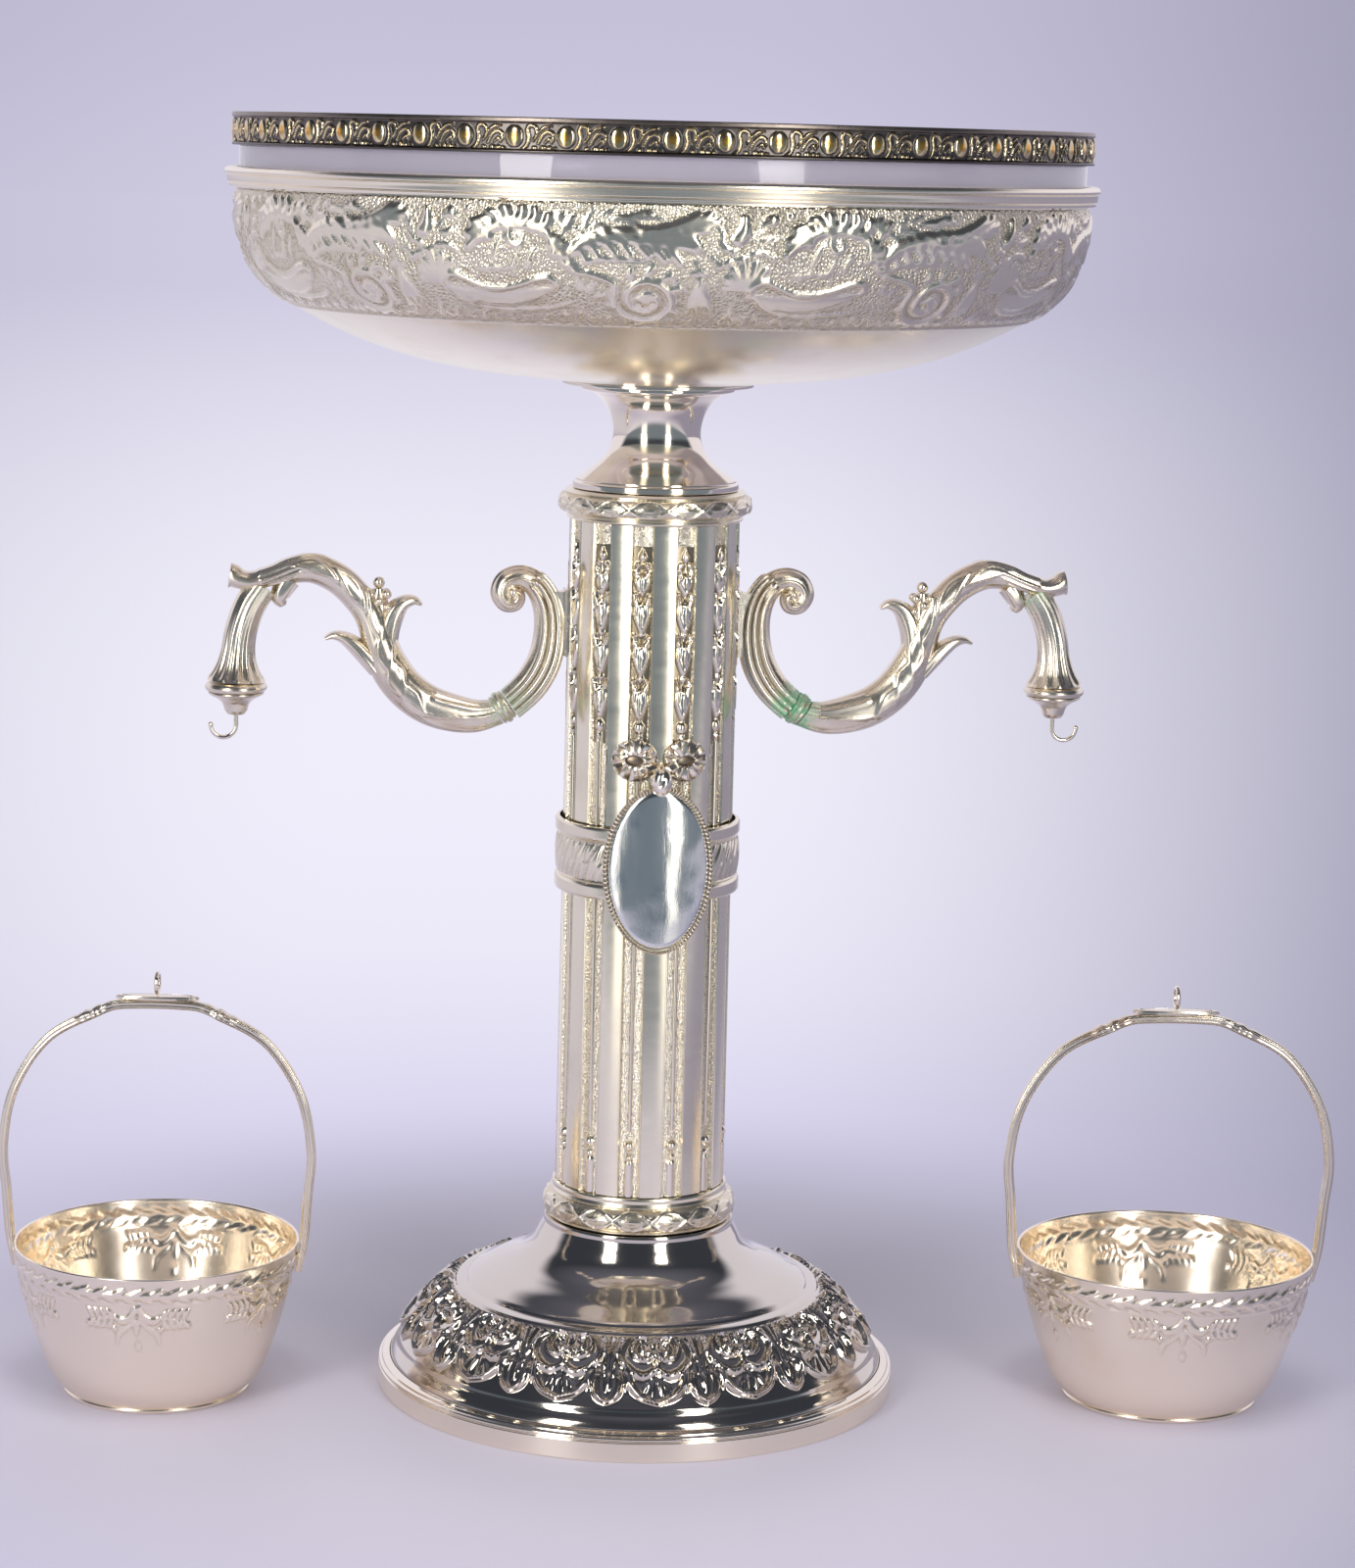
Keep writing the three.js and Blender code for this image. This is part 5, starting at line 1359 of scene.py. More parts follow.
def beltPiece():
    low, top, r = belt["bottom"], belt["top"], belt["radius"]
    levels = np.linspace(low + 7.4, top - 7.0, 26)
    swell = 0.55 * np.sin(math.pi * (levels - levels[0]) / (levels[-1] - levels[0]))
    band = np.stack([r - 1.1 + swell, levels], 1)
    pitch = 2 * math.pi * r / belt["leaves"]
    count = belt["steps"] // belt["leaves"]
    s = (np.arange(count) / count - 0.5) * pitch
    work = Relief(s[None, :], levels[:, None], pitch)
    z0, z1 = levels[0], levels[-1]
    z = (z0 + z1) / 2
    for x in (-pitch / 4, pitch / 4):
        work.stroke([(x - 3.4, z0 + 0.8), (x, z), (x + 3.4, z1 - 0.8)], (0.5, 1.9, 0.4), 0.75, vein=0.5)
        work.stroke([(x + 0.4, z0 + 0.9), (x + 2.6, z - 2.2), (x + 4.4, z - 0.4)], (0.4, 1.1, 0.3), 0.6,
                    vein=0.3)
        work.stroke([(x - 4.4, z + 0.6), (x - 2.6, z1 - 3.2), (x - 0.4, z1 - 0.9)], (0.3, 1.1, 0.3), 0.6,
                    vein=0.3)
    fade = np.clip(np.minimum(levels - z0, z1 - levels) / 0.6, 0, 1)[:, None]
    field = np.tile(softened(work.height * fade, 1), (1, belt["leaves"]))
    lower = outline([(belt["bore"], low), (r - 0.4, low, 0.4), (r, low + 1.0, 0.6), (r, low + 5.2, 0.8),
                     (r - 0.5, low + 6.2, 0.2), (r - 1.2, low + 6.6, 0.1), (r - 0.7, low + 7.0, 0.2),
                     (r - 1.1, low + 7.4)])
    upper = outline([(r - 1.1, top - 7.0), (r - 0.7, top - 6.6, 0.2), (r - 1.2, top - 6.2, 0.1),
                     (r - 0.4, top - 5.8, 0.3), (r, top - 4.8, 0.6), (r, top - 1.0, 0.6), (r - 0.5, top, 0.4),
                     (belt["bore"], top)])
    reliefTurned("belt", lower[:-1], band, upper[1:], field, "belt", belt["steps"])


# Medallion, its milled border and the bow over it, all bent gently round the column
plaque = {
    "middle": 231.9, "back": belt["radius"] + 0.3, "bend": 50.0, "width": 47.0, "height": 71.5, "border": 1.5,
    "rise": 1.5, "teeth": 112, "slim": 0.72,
}


def plaquePlace(x, z, out):
    return np.stack([x, -(plaque["back"] + out - x * x / (2 * plaque["bend"])), plaque["middle"] + z], -1)


def ovalRing(wide, tall, a, out):
    return plaquePlace(wide * np.cos(a), tall * np.sin(a), out + 0 * a)


def medallion():
    q = plaque
    inset = 2 * q["border"] * q["slim"] - 0.2
    wide, tall = q["width"] / 2 - inset, q["height"] / 2 - inset
    a = circle(144)
    middle = circle(1)
    rings = [ovalRing(0, 0, middle, 0)]
    edge = ((0.3, 0.0), (0.7, 0.0), (0.99, 0.0), (1.0, 0.2), (1.0, 0.9), (0.993, 1.15), (0.98, 1.3))
    domed = [(k, 1.2 + q["rise"] * math.sqrt(1 - 0.93 * k * k)) for k in np.linspace(0.96, 0.04, 22)]
    rings += [ovalRing(wide * k, tall * k, a, out) for k, out in list(edge) + domed]
    rings.append(ovalRing(0, 0, middle, 1.2 + q["rise"]))
    heap = Heap()
    heap.rings(rings)
    heap.piece("medallion", "wornMirror", "stand", "silver", "medallion", sharp=50)


def medallionBorder():
    q = plaque
    a = circle(q["teeth"] * 5)
    tooth = 0.5 + 0.5 * np.cos(a * q["teeth"])
    wide, tall = q["width"] / 2 - q["border"] * q["slim"], q["height"] / 2 - q["border"] * q["slim"]
    rings = []
    for turn in circle(12):
        radius = q["border"] * (0.64 + 0.36 * tooth * max(0.0, math.sin(turn) + 0.35))
        side = radius * math.cos(turn) * q["slim"]
        rings.append(ovalRing(wide + side, tall + side, a, q["border"] + radius * math.sin(turn)))
    heap = Heap()
    # painted shade and tarnish between the milled teeth
    heap.rings(rings, loop=True, recess=np.tile(1 - tooth, 12))
    heap.piece("medallionBorder", "dropSilver", "stand", "silver", "medallion_border", sharp=60)


bow = {
    "wide": 9.8, "tall": 8.9, "eyeWide": 3.5, "eyeTall": 2.0, "spread": 10.4, "z": 277.2, "pleats": 12,
    "perPleat": 12, "seat": column["topRadius"] + 0.35, "knot": (4.4, 6.3, 4.7), "knotZ": 269.4,
}


def bowLoop(heap, side):
    # a pierced fan of pleats, tangent to the column, with a floor in its eye painted dark as shade
    q = bow
    a = circle(q["pleats"] * q["perPleat"])
    fold = np.abs(np.mod(a * q["pleats"] / math.pi, 2) - 1)
    turn = side * math.asin(q["spread"] / q["seat"])
    lean = 0.14 * np.cos(a - (math.pi if side > 0 else 0.0))

    def ring(wide, tall, y):
        x, y = spun(np.cos(a) * wide, -(q["seat"] + y), turn)
        return np.stack([x, y, q["z"] + np.sin(a) * tall], 1)

    rings = []
    for u, out, share in ((1.0, 0.3, 0.0), (1.0, 1.0, 0.5), (0.96, 1.7, 1.0), (0.8, 2.6, 1.0),
                          (0.55, 3.3, 0.9), (0.3, 3.6, 0.7), (0.1, 3.5, 0.4), (0.02, 3.0, 0.1),
                          (0.0, 0.3, 0.0)):
        lobes = 1 + 0.03 * share * (fold - 0.5) * u
        wide = q["eyeWide"] + (q["wide"] - q["eyeWide"]) * u
        tall = q["eyeTall"] + (q["tall"] - q["eyeTall"]) * u
        rings.append(ring(wide * lobes, tall * lobes, out * (0.66 + lean) + 1.5 * share * (fold - 0.6)))
    # painted shade in the pleats' folds, full on the rings round the eye
    shade = np.concatenate([0 * a] + [(1 - fold) ** 4 * 0.7] * 6 + [0 * a + 1] * 2)
    heap.rings(rings, loop=True, recess=shade)
    # painted shadow: a closed floor fills the eye, fully shaded, where the loop opens onto the column
    eye = [ring(q["eyeWide"] + q["wide"] * u * 0.5, q["eyeTall"] + q["tall"] * u * 0.5, out + 0 * a)
           for u, out in ((0.12, 0.1), (0.12, 0.5), (0.06, 0.7))]
    heap.capped(eye, recess=np.ones(3 * len(a)))


def bowPiece():
    heap = Heap()
    for side in (-1, 1):
        bowLoop(heap, side)
    wide, tall, thick = bow["knot"]
    a = circle(40)
    rings = []
    for k in range(1, 16):
        lat = -math.pi / 2 + math.pi * k / 16
        x, z = wide * math.cos(lat) * np.cos(a), tall * math.sin(lat) + 0 * a
        crease = 1 - 0.16 * np.exp(-(((x * 0.75 - z * 0.6) + 0.6) / 0.8) ** 2)
        y = thick * math.cos(lat) * np.sin(a) * crease
        rings.append(np.stack([x, -(plaque["back"] + 2.2) - y, bow["knotZ"] + z], 1))
    heap.capped(rings)
    heap.piece("bow", "bowSilver", "stand", "cast_silver", "bow", sharp=60)


beltPiece()
medallion()
medallionBorder()
bowPiece()
say("belt, medallion and bow")


# Arms: cast scrolls that lie along X. Stations are [x, z, half height, half width], the right arm's, and
# berries are [x, z, y, radius].
arm = {
    "scroll": [
        [63.0, 294.0, 6.2, 5.8], [59.5, 296.6, 6.3, 5.8], [51.4, 304.6, 6.6, 5.8], [46.2, 314.2, 6.5, 5.8],
        [44.3, 323.8, 6.1, 5.6], [44.5, 333.8, 5.8, 5.4], [46.8, 341.4, 5.5, 5.2], [51.0, 346.8, 5.0, 4.9],
        [56.8, 349.0, 4.6, 4.8], [62.2, 347.2, 4.2, 4.8], [64.2, 342.6, 3.8, 4.9], [61.8, 338.6, 3.5, 5.0],
        [58.2, 338.6, 3.0, 5.3], [57.2, 341.4, 2.6, 5.5], [58.8, 342.8, 2.0, 5.6]],
    "limb": [
        [61.6, 293.6, 5.5, 5.5], [65.6, 292.0, 5.7, 5.6], [74.4, 290.4, 7.0, 6.4], [85.0, 292.0, 8.1, 7.0],
        [95.0, 295.6, 8.4, 7.2], [104.2, 302.6, 8.4, 7.2], [110.8, 311.8, 8.2, 7.1],
        [114.8, 322.0, 7.2, 6.8], [119.0, 333.0, 6.5, 6.6], [124.4, 340.6, 6.5, 6.4],
        [132.0, 347.6, 6.5, 6.3], [142.2, 352.0, 6.3, 6.2], [151.6, 351.2, 5.5, 6.3],
        [158.6, 349.2, 4.3, 6.6], [164.0, 347.8, 3.9, 6.6], [169.0, 346.8, 3.9, 6.4],
        [172.8, 347.4, 4.3, 6.0], [175.6, 348.7, 4.9, 5.6], [177.0, 348.9, 5.3, 5.2]],
    "drop": [
        [163.4, 344.4, 6.2, 6.2], [168.6, 336.3, 6.6, 6.5], [172.2, 325.6, 6.5, 6.5],
        [173.4, 316.4, 6.9, 6.9], [173.8, 310.0, 8.8, 8.8], [174.0, 305.0, 12.0, 12.0]],
    "upper": [
        [111.6, 318.0, 4.0, 5.4], [111.0, 327.0, 4.6, 5.8], [108.4, 334.4, 4.4, 5.5],
        [104.4, 338.2, 3.1, 4.8], [100.4, 339.0, 2.1, 3.8], [97.4, 337.4, 0.9, 2.4]],
    "lower": [
        [115.6, 309.6, 3.2, 5.2], [121.2, 316.4, 3.7, 5.6], [126.0, 321.0, 3.4, 5.2],
        [130.4, 323.5, 2.5, 4.4], [134.2, 324.0, 1.7, 3.4], [137.4, 322.7, 0.8, 2.2]],
    "under": [
        [152.0, 347.4, 4.2, 5.6], [155.2, 343.0, 4.2, 5.4], [156.2, 339.4, 3.5, 4.6],
        [155.0, 336.4, 1.7, 2.8]],
    "stem": [
        [115.8, 324.0, 4.2, 5.0], [115.4, 333.0, 4.4, 4.8], [115.2, 340.0, 3.6, 4.0],
        [115.2, 344.0, 2.4, 3.0]],
    "berries": [
        [115.2, 346.4, 0.0, 2.5], [112.0, 341.8, -2.8, 2.0], [118.6, 341.6, -2.6, 2.1],
        [115.2, 339.0, -4.2, 1.9], [112.0, 341.8, 2.8, 2.0], [118.6, 341.6, 2.6, 2.1],
        [115.2, 339.0, 4.2, 1.9], [111.6, 336.4, -3.6, 1.6], [119.0, 336.0, -3.4, 1.6],
        [111.6, 336.4, 3.6, 1.6], [119.0, 336.0, 3.4, 1.6]],
    "collarPlace": (62.8, 294.2), "collarTilt": 35.0, "collarHalf": 3.1,
    "cupTop": 304.6, "cupTall": 14.0, "headDrop": 8.4, "bore": 1.3, "axis": 174.0, "wire": 0.95, "bend": 5.2,
    "shank": 4.4, "green": {"left": 0.35, "right": 1.0},
}


def sweptRings(stations, steps, sides, relief):
    # oval rings along the stations; relief(run, angle) lifts the skin, angle 0 faces the inside of the curve
    path = smoothThrough(stations, steps)
    flow, run, a = flowOf(path[:, :2]), runOf(path[:, :2]), circle(sides)
    rise = relief(run[:, None], a[None, :])
    rings = []
    for (x, z, high, wide), way, lift in zip(path, flow, rise):
        up = (high + lift) * np.cos(a)
        rings.append(np.stack([x - way[1] * up, (wide + lift) * np.sin(a), z + way[0] * up], 1))
    return rings, run, rise


def folded(a):
    # both faces of an arm carry the same work: 0 at the inside of the curve, pi at its back
    return np.abs(np.mod(a + math.pi, 2 * math.pi) - math.pi)


def scrollRelief(run, a):
    work = Relief(run, folded(a) * 5.8)
    end = run.max()
    for t in (2.2, 5.0, 7.8, 10.6):
        work.stroke([(-4, t), (end * 0.35, t), (end * 0.66, t)], (1.15, 1.15, 0.9), 1.7)
    work.stroke([(-4, 0), (end, 0)], (1.6, 1.2), 0.7)
    work.ridge([(end * 0.6, 9.0), (end * 0.8, 9.4), (end, 9.0)], 0.8, 0.5)
    return softened(work.height)


def limbRelief(run, a):
    # reeds near the collar, then overlapping sheaths with thin raised edges, a veined crest at the end
    work = Relief(run, folded(a) * 7.4)
    for t in (4.6, 7.4):
        work.stroke([(-4, t), (16, t + 0.2), (34, t + 0.8)], (1.2, 1.2, 0.6), 0.8)
    work.ridge([(2, 11.2), (18, 11.8), (32, 14.4), (40, 14.6)], 0.55, 0.8)
    work.ridge([(6, 18.4), (22, 18.2), (38, 16.4), (50, 12.4)], 0.6, 0.7)
    sheaths = ((34, 48, 12.8, 3.0), (45, 59, 11.4, 3.3), (57, 74, 9.8, 3.2), (70, 88, 8.2, 3.0),
               (84, 104, 9.4, 3.0), (102, 122, 9.0, 2.6))
    for root, tip, t, wide in sheaths:
        middle = root * 0.5 + tip * 0.5
        work.stroke([(root, t + 2.6), (middle, t + 0.4), (tip, t - 2.2)], (0.5, wide, 0.5), 0.5, flat=3.0,
                    steps=8)
        for way in (-1, 1):
            work.ridge([(root - 1, t + 2.8), (middle, t + 0.4 + way * (wide + 0.2)), (tip + 1, t - 2.4)],
                       0.55, 0.9, steps=8)
    for k in range(5):
        work.stroke([(108 + k * 3.0, 3.0 + k * 3.0), (120 + k * 2.0, 4.0 + k * 3.4), (134, 4.4 + k * 3.8)],
                    (0.5, 1.0, 0.6), 0.7)
    return softened(work.height) * np.clip((run.max() - run) / 4, 0.1, 1)


def dropRelief(run, a):
    # flutes that deepen towards the flare
    flare = np.clip((run - run.max() * 0.3) / (run.max() * 0.7), 0, 1)
    return 0.55 * np.cos(a * 12) * (0.2 + 0.8 * flare) * np.clip((run.max() - run) / 1.5, 0, 1)


def leafRelief(wide):
    def lift(run, a):
        return 0.35 * np.cos(folded(a) * 6) * np.clip(1 - run / run.max(), 0, 1) * wide / 5
    return lift


def hollowOf(rise):
    # painted shade and tarnish where the arms' relief drops steeply to low ground
    return edgeShade(rise, 0.5, 0.8).ravel()


def spot(heap, centre, radius, stretch=1.0, **values):
    # a bead, drawn out along Y by stretch
    a = circle(20)
    rings = []
    for k in range(1, 10):
        lat = -math.pi / 2 + math.pi * k / 10
        reach = radius * math.cos(lat)
        rings.append(np.stack([centre[0] + reach * np.cos(a), centre[1] + stretch * reach * np.sin(a),
                               centre[2] + radius * math.sin(lat) + 0 * a], 1))
    heap.capped(rings, **{key: np.full(9 * 20, value) for key, value in values.items()})


def trimmed(rings, keepBeyond):
    # rings past the collar's face are pushed back onto it, and left out but for the last of them
    turn = math.radians(arm["collarTilt"])
    axis = np.array([math.cos(turn), -math.sin(turn)])
    way = 1 if keepBeyond else -1
    face = arm["collarHalf"] + 0.3
    past, out = 0, []
    for ring in rings:
        gap = face - way * ((ring[:, [0, 2]] - arm["collarPlace"]) @ axis)
        past += bool(np.all(gap > 0))
        ring = ring.copy()
        ring[:, [0, 2]] += way * np.maximum(gap, 0)[:, None] * axis
        out.append(ring)
    first = max(0, past - 1)
    return out[first:], first


class ArmHeap(Heap):  # a heap whose points are turned to the left or the right side
    def __init__(self, side):
        super().__init__()
        self.side = side

    def add(self, points, faces, **values):
        points = np.asarray(points, float)
        super().add(points if self.side > 0 else points * (-1, -1, 1), faces, **values)


def tiltedRing(profile, place, tilt, steps):
    # a turned ring whose axis leans in the plane of the arm
    turn = math.radians(tilt)
    a = circle(steps)
    return [np.stack([place[0] + h * math.cos(turn) + r * np.cos(a) * math.sin(turn), r * np.sin(a),
                      place[1] - h * math.sin(turn) + r * np.cos(a) * math.cos(turn)], 1) for r, h in profile]


def armPieces(name, side):
    greener = arm["green"][name]

    def cast(heap, part, node, sharp=70):
        heap.piece(f"arm{name.title()}{part}", "castSilver", "stand", "cast_silver", f"arm_{name}_{node}",
                   sharp=sharp)

    def greened(run, sides, start, reach, most=1.0):
        # verdigris that starts at a joint and fades along the run
        return np.repeat(np.clip(start - run / reach, 0, 1) * most * greener, sides)

    heap = ArmHeap(side)
    rings, run, rise = sweptRings(arm["scroll"], 9, 112, scrollRelief)
    rings, first = trimmed(rings, False)
    heap.capped(rings, recess=np.clip(hollowOf(rise[first:]) * 1.8, 0, 1),
                verdigris=greened(run[first:], 112, 1.825, 8))
    spot(heap, (59.4, 0, 342.9), 3.2, stretch=1.72)
    cast(heap, "Scroll", "scroll")

    heap = ArmHeap(side)
    rings, run, rise = sweptRings(arm["limb"], 13, 96, limbRelief)
    rings, first = trimmed(rings, True)
    heap.capped(rings, recess=hollowOf(rise[first:]), verdigris=greened(run[first:], 96, 1 + 5 / 6, 6))
    for leaf in ("upper", "lower", "under", "stem"):
        rings, run, rise = sweptRings(arm[leaf], 8, 40, leafRelief(arm[leaf][1][3]))
        heap.capped(rings, recess=hollowOf(rise) * 0.7)
    for x, z, y, r in arm["berries"]:
        spot(heap, (x, y, z), r, recess=0.1)
    cast(heap, "Limb", "limb")

    heap = ArmHeap(side)
    half = arm["collarHalf"]
    profile = outline([(2.4, -half), (6.0, -half, 0.3), (6.8, -half + 0.9, 0.6), (6.2, -half + 1.7, 0.2),
                       (7.2, -0.9, 0.5), (7.2, 0.9, 0.5), (6.2, half - 1.7, 0.2), (6.8, half - 0.9, 0.6),
                       (6.0, half, 0.3), (2.4, half)])
    heap.rings(tiltedRing(profile, arm["collarPlace"], arm["collarTilt"], 72), loop=True,
               verdigris=0.95 * greener, recess=0.2)
    cast(heap, "Collar", "collar", 32)

    heap = ArmHeap(side)
    rings, run, rise = sweptRings(arm["drop"], 12, 112, dropRelief)
    heap.capped(rings, recess=hollowOf(rise), verdigris=greened(run, 112, 1, 9, 0.5))
    cast(heap, "DropTube", "drop_tube")

    heap = ArmHeap(side)
    z, bore = arm["cupTop"], arm["bore"]
    profile = outline([(2.9, z), (11.2, z, 0.3), (12.4, z - 0.9, 0.8), (13.0, z - 2.4, 0.9),
                       (12.3, z - 3.8, 0.5), (11.3, z - 4.2, 0.2), (11.6, z - 5.0, 0.4), (10.4, z - 5.9, 0.3),
                       (8.4, z - 6.9, "c"), (6.0, z - 8.8, "c"), (5.1, z - 10.8, "c"), (4.7, z - 12.2),
                       (3.6, z - 13.8, 0.5), (bore, z - arm["cupTall"]), (bore, z - arm["headDrop"]),
                       (2.9, z - arm["headDrop"])])
    # painted shade and tarnish in the cup's groove
    groove = (profile[:, 1] < z - 3.9) & (profile[:, 1] > z - 4.6)
    heap.rings(around(profile, 96, centre=(arm["axis"], 0)), loop=True, recess=np.repeat(groove * 1.0, 96))
    cast(heap, "Cup", "cup", 32)


def hookPiece(name, side):
    # a headed shank in the cup, and a round hook that ends in a small ball
    x, r, bend = arm["axis"], arm["wire"], arm["bend"]
    level = arm["cupTop"] - arm["cupTall"] - arm["shank"]
    head = arm["cupTop"] - arm["headDrop"] + 0.35
    headRings = ((1.4, 1.9), (1.3, 2.2), (0.1, 2.2), (0, 1.9), (-0.05, r))
    places = [(x, head + up, thick) for up, thick in headRings]
    places += [(x, z, r) for z in np.linspace(head - 1, level + 0.5, 6)]
    for turn in np.radians(np.linspace(180, 362, 40)):
        places.append((x + bend * (1 + math.cos(turn)), level + bend * math.sin(turn), r))
    places = np.array(places)
    flow = np.gradient(places[:, :2], axis=0)
    flow[:len(headRings)] = (0, -1)
    flow /= np.linalg.norm(flow, axis=1)[:, None]
    a = circle(20)
    rings = [np.stack([px + radius * way[1] * np.cos(a), radius * np.sin(a),
                       pz - radius * way[0] * np.cos(a)], 1) for (px, pz, radius), way in zip(places, flow)]
    heap = ArmHeap(side)
    heap.capped(rings)
    spot(heap, (places[-1][0], 0, places[-1][1]), r * 1.22)
    heap.piece(f"hook{name.title()}", "silver", f"hook_{name}", "silver", f"hook_{name}", sharp=50)


for armName, armSide in (("left", -1), ("right", 1)):
    armPieces(armName, armSide)
    hookPiece(armName, armSide)
say("arms and hooks")


# Baskets: a tapered bowl with an embossed border and drops, a reeded strap handle, a plate and a ring
basket = {
    "rim": 61.8, "rimHeight": 64.6, "foot": 40.7, "sheet": 1.0, "drops": 6, "perDrop": 116, "rise": 1.0,
    "reach": 67.05, "strapWide": 4.8, "strapThick": 3.6, "top": 168.4, "plateLong": 36.0,
    "ring": 4.2, "ringWire": 0.95, "wall": ((0.25, 0.13), (0.5, 0.33), (0.73, 0.57), (0.89, 0.8)),
    "cord": 57.2, "line": 52.9, "plainTop": 27.5, "wallRadius": 58.5,
    "left": (-206.1, 2.8, -8.0, 0.975), "right": (224.7, -36.4, -6.0, 1.03),   # x, y, turn in degrees, spread
}


class BasketHeap(Heap):  # a heap set down where one basket stands
    def __init__(self, name):
        super().__init__()
        self.name = name

    def add(self, points, faces, **values):
        x, y, turn, spread = basket[self.name]
        points = np.array(points, float)
        px, py = spun(points[:, 0] * spread, points[:, 1], math.radians(turn))
        super().add(np.stack([x + px, y + py, points[:, 2]], 1), faces, **values)

    def part(self, part, node, finish, slot, sharp=32):
        self.piece(f"basket{self.name.title()}{part}", finish, f"basket_{self.name}", slot,
                   f"basket_{self.name}_{node}", sharp=sharp)


def basketField(s, z, pitch):
    # s round the basket, z its height: a leaf border between two lines, and bows with sprays under it
    work = Relief(s, z, pitch, basket["rise"])
    cord, step = basket["cord"], pitch / 8
    work.raiseTo(work.high * np.sqrt(np.clip(1 - ((work.t - cord) / 1.7) ** 2, 0, 1)) * 0.9)
    work.raiseTo(0.35 * work.high * np.exp(-((work.t - basket["line"]) / 0.35) ** 2))
    for k in range(8):
        x = (k - 4) * step
        for way in (-1, 1):
            lean = x + (0.5 * step if way > 0 else 0.0)
            work.stroke([(lean, cord - way * 0.6), (lean + step * 0.45, cord + way * 1.4),
                         (lean + step * 0.9, cord + way * 3.1)], (0.5, 1.15, 0.3), 1.1, vein=0.5)
        work.dome((x + step * 0.2, cord), 1.0, 1.2)
    for way in (-1, 1):
        work.stroke([(way * 0.7, 52.4), (way * 2.6, 48.2), (way * 6.8, 46.0), (way * 9.6, 48.2)],
                    (0.7, 1.5, 1.7, 0.5), vein=0.5, steps=8)
        work.stroke([(way * 0.5, 47.0), (way * 3.8, 43.4), (way * 8.2, 40.0), (way * 9.6, 35.0)],
                    (0.5, 0.9, 1.1, 0.5), 0.7, vein=0.4, steps=8)
        work.stroke([(way * 9.4, 47.2), (way * 14.0, 47.0), (way * 20.4, 44.6)], (0.5, 0.5, 0.3), 0.8)
        for k in range(4):
            x = way * (11.0 + k * 2.9)
            work.stroke([(x, 47.0), (x + way * 0.8, 49.6), (x + way * 2.2, 51.2)], (0.4, 1.05, 0.3), vein=0.4)
            work.stroke([(x, 46.2), (x + way * 1.2, 43.8), (x + way * 2.9, 42.6)], (0.4, 1.05, 0.3), vein=0.4)
        work.dome((way * 21.4, 44.4), 1.1)
        work.dome((way * 10.0, 42.4), 1.2)
    work.stroke([(0, 46.6), (-0.4, 43.4), (-0.6, 39.6)], (0.5, 1.3, 0.4), vein=0.4)
    work.dome((0, 51.0), 1.3, 1.1)
    work.dome((0, 34.6), 1.4, 0.8, squeeze=1.6)
    return work.height


def basketBowl(name):
    b = basket
    rim, base, tall, flare = b["rim"], b["foot"], b["rimHeight"], b["rim"] - b["foot"]
    low = outline([(0, 0.25), (base - 3.0, 0.25, 0.2), (base - 1.6, 0, 0.2), (base, 0.3, 0.4),
                   (base + 0.1, 1.4, 0.3), (base - 0.3, 2.0, 0.3)])
    body = smoothThrough([(base - 0.3, 2.0)] + [(base + flare * out, tall * up) for out, up in b["wall"]]
                         + [(rim - 0.25, tall - 1.4)], 30)
    plain, worked = body[body[:, 1] <= b["plainTop"]], body[body[:, 1] > b["plainTop"]]
    levels = np.concatenate([np.arange(27.8, 42.0, 0.8), np.arange(42.3, 60.8, 0.47), [61.4, 62.2, 63.2]])
    worked = np.stack([np.interp(levels, worked[:, 1], worked[:, 0]), levels], 1)
    lip = np.array([(rim - 0.15, tall - 0.9), (rim, tall - 0.45), (rim - 0.2, tall - 0.05), (rim - 0.6, tall),
                    (rim - 1.0, tall - 0.1), (rim - 1.2, tall - 0.6)])
    count = b["drops"] * b["perDrop"]
    few = count // 4
    pitch = 2 * math.pi * b["wallRadius"] / b["drops"]
    s = (np.arange(b["perDrop"]) / b["perDrop"] - 0.5) * pitch
    field = softened(basketField(s[None, :], levels[:, None], pitch))
    field = np.roll(np.tile(field, (1, b["drops"])), b["perDrop"] // 2, axis=1)
    edge = edgeShade(field, 0.45, 1.3)
    innerWorked, innerPlain = leftOf(worked, b["sheet"])[::-1], leftOf(plain, b["sheet"])[::-4]
    floor = np.array([(base - 2.6, 1.3), (0, 1.3)])
    # (rings, painted shade and tarnish in their hollows) from the middle of the foot over the lip to the
    # middle of the floor
    inner = around(innerWorked, count, -softened(field, 2)[::-1] * 0.6)
    parts = ((around(low, few) + around(plain[1::4], few), None), (around(worked, count, field), edge),
             (around(lip, few), None), (inner, edge[::-1] * 0.6),
             (around(innerPlain, few) + around(floor, few), None))
    recess = [np.zeros(sum(len(ring) for ring in rings)) if shade is None else shade.ravel()
              for rings, shade in parts]
    heap = BasketHeap(name)
    heap.rings([ring for rings, _ in parts for ring in rings], recess=np.concatenate(recess))
    heap.part("Bowl", "bowl", "basketSilver", "silver", sharp=60)


def strapPath():
    b = basket
    end, reach, low, top = b["rim"] + 0.3 + b["strapThick"] / 2, b["reach"], b["rimHeight"], b["top"]
    rise, middle = top - low, top - b["strapThick"] / 2
    half = [(-end + 2.1, low - 13), (-end - 0.1, low - 1), (-reach * 0.98, low + rise * 0.2),
            (-reach, low + rise * 0.38), (-reach * 0.925, low + rise * 0.62),
            (-reach * 0.7, low + rise * 0.835), (-reach * 0.4, top - 6.0), (-reach * 0.28, middle - 0.9),
            (-reach * 0.12, middle)]
    return smoothThrough(half + [(-x, z) for x, z in half[::-1]], 14)


def powered(value, power):
    return np.sign(value) * np.abs(value) ** power


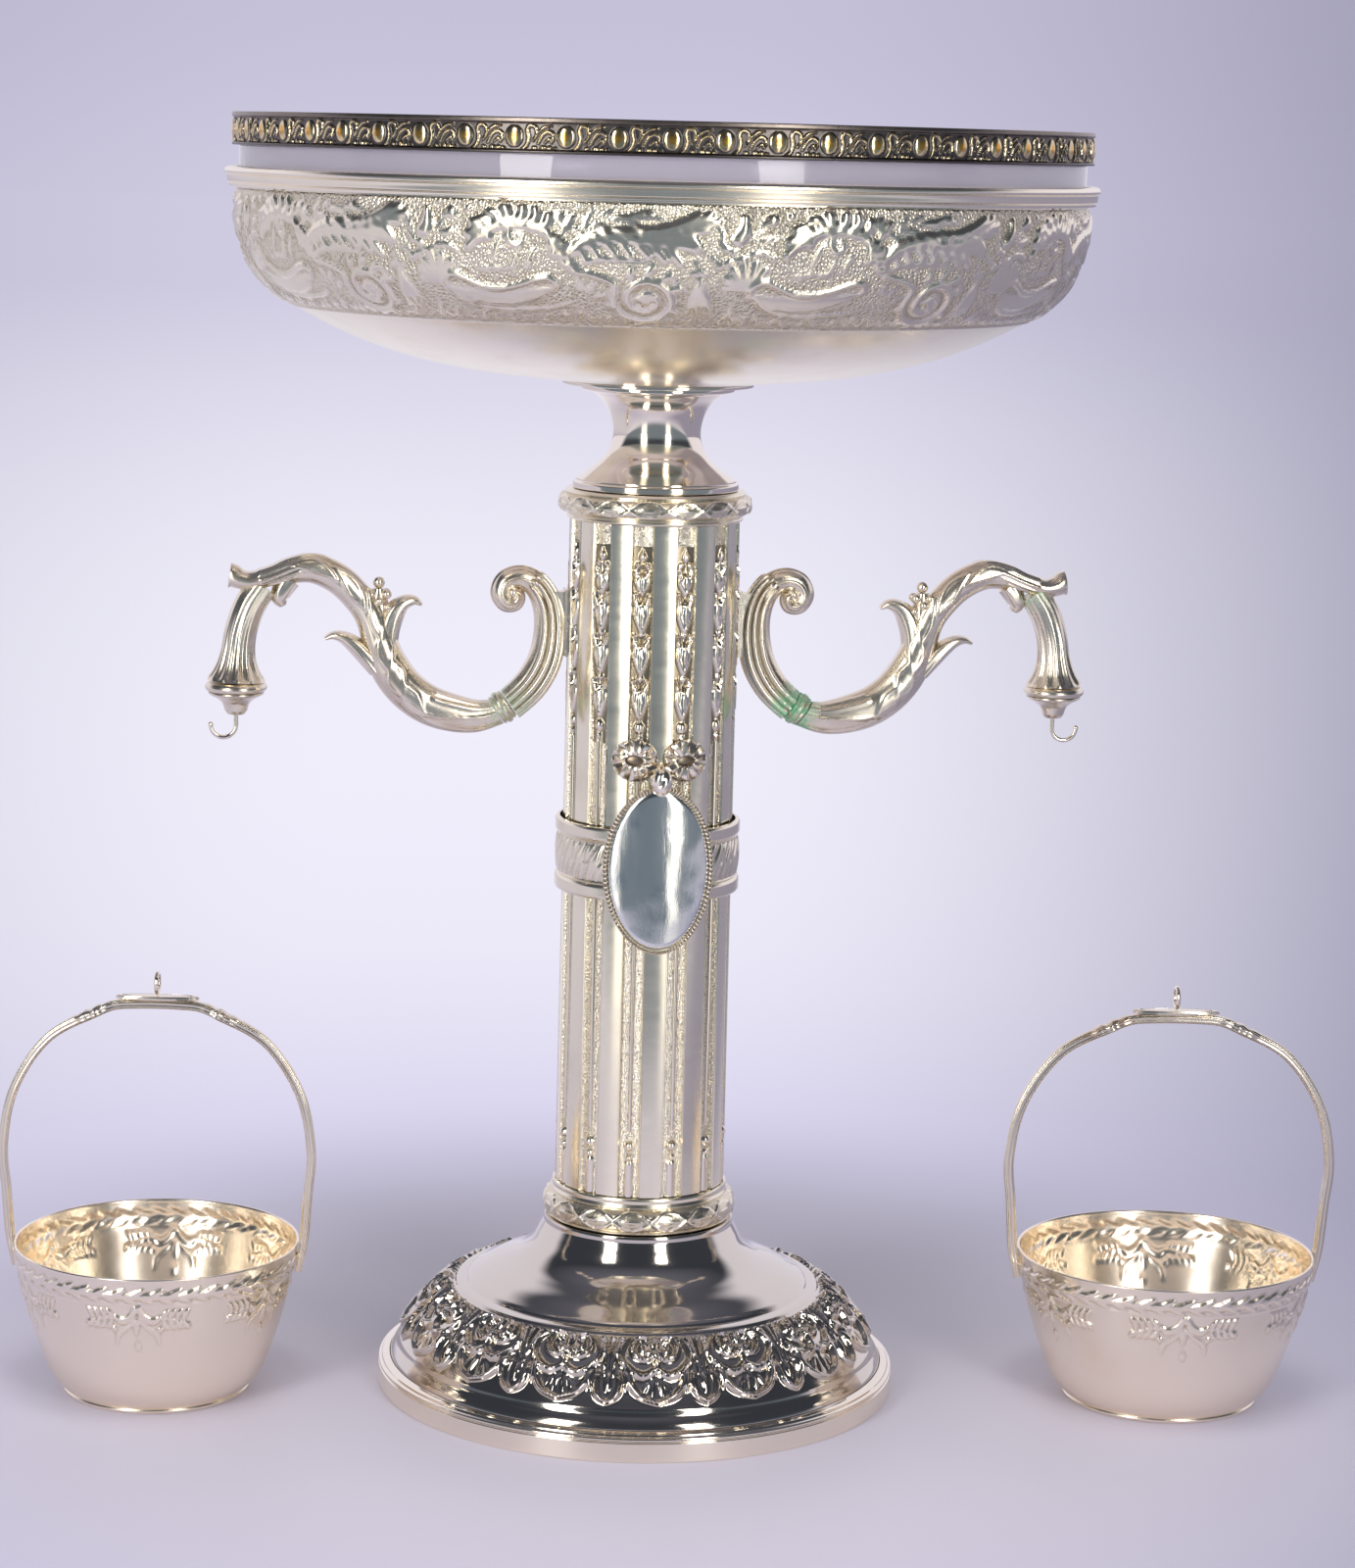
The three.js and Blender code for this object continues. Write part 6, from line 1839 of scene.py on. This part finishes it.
def basketHandle(name):
    # a strap with four reeds to a side, thinner at its soldered ends, a leaf tuft on each shoulder
    b = basket
    path = strapPath()
    flow, run, a = flowOf(path), runOf(path), circle(48)
    fromEnd = np.minimum(run, run[-1] - run)
    reeds = 0.34 * (np.abs(np.sin(a * 4)) ** 0.7 - 1)
    rings, shade = [], []
    for (x, z), way, far, end in zip(path, flow, run, fromEnd):
        wide = b["strapWide"] / 2 * (0.8 + 0.35 * min(1.0, end / 30.0))
        thick = b["strapThick"] / 2 * (0.8 + 0.35 * min(1.0, end / 16.0))
        leaf = math.exp(-((abs(x) / b["reach"] - 0.42) / 0.09) ** 2)
        across = powered(np.sin(a), 0.7) * wide
        tuft = leaf * (0.4 * np.cos(far * 1.05 + np.abs(across) * 1.2) + 0.25)
        out = powered(np.cos(a), 0.75) * thick + np.cos(a) * (reeds + tuft * (np.cos(a) > -0.4))
        across = across * (1 + 0.3 * leaf) + np.sin(a) * (reeds + tuft)
        rings.append(np.stack([x - way[1] * out, across, z + way[0] * out], 1))
        # painted shade and tarnish in the grooves between the reeds and in the tufts' hollows
        shade.append(np.clip(-reeds * 1.4, 0, 1) * 0.8 + leaf * np.clip(-tuft, 0, 1))
    heap = BasketHeap(name)
    heap.capped(rings, recess=np.concatenate(shade))
    heap.part("Handle", "handle", "basketCast", "cast_silver", sharp=70)


def basketPlate(name):
    # an oval plate with a groove near its edge
    low, top = span(f"basket_{name}_handle_plate")
    a = circle(96) + 1e-4   # off the axes, where the oval's own formula has no value
    x = basket["plateLong"] / 2 * np.cos(a) * np.abs(np.cos(a)) ** -0.12
    y = basket["strapWide"] * 0.75 * np.sin(a)
    levels = ((0.5, low), (0.96, low), (1.0, low + 0.25), (1.0, top - 0.35), (0.97, top - 0.08), (0.93, top),
              (0.86, top), (0.84, top - 0.18), (0.81, top - 0.18), (0.79, top), (0.4, top))
    heap = BasketHeap(name)
    # painted shade and tarnish in the plate's groove
    heap.capped([np.stack([x * k, y * k, z + 0 * a], 1) for k, z in levels],
                recess=np.repeat([0.8 if 0.8 < k < 0.85 else 0.0 for k, _ in levels], 96))
    heap.part("Plate", "handle_plate", "basketCast", "cast_silver")


def basketRing(name):
    wire, radius = basket["ringWire"], basket["ring"]
    middle = span(f"basket_{name}_handle_plate")[1] + 0.3 + wire + radius
    a = circle(20)
    across, reach = wire * np.sin(a), radius + wire * np.cos(a)
    heap = BasketHeap(name)
    heap.rings([np.stack([across, reach * math.cos(turn), middle + reach * math.sin(turn)], 1)
                for turn in circle(64)], loop=True)
    heap.part("Ring", "ring", "silver", "silver")


for basketName in ("left", "right"):
    basketBowl(basketName)
    basketHandle(basketName)
    basketPlate(basketName)
    basketRing(basketName)
say("baskets")


# Pieces that stay as the CAD has them: the arms' lugs in silver, the hidden fittings in brass and steel
def finishRest():
    for node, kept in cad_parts.items():
        if kept.hide_render:
            continue
        fitting = any(word in node for word in ("washer", "nut", "screw", "stud"))
        finish = "steel" if node == "tie_rod" else "brass" if fitting else "castSilver"
        for slot in kept.material_slots:
            slot.material = finishes[finish]


finishRest()
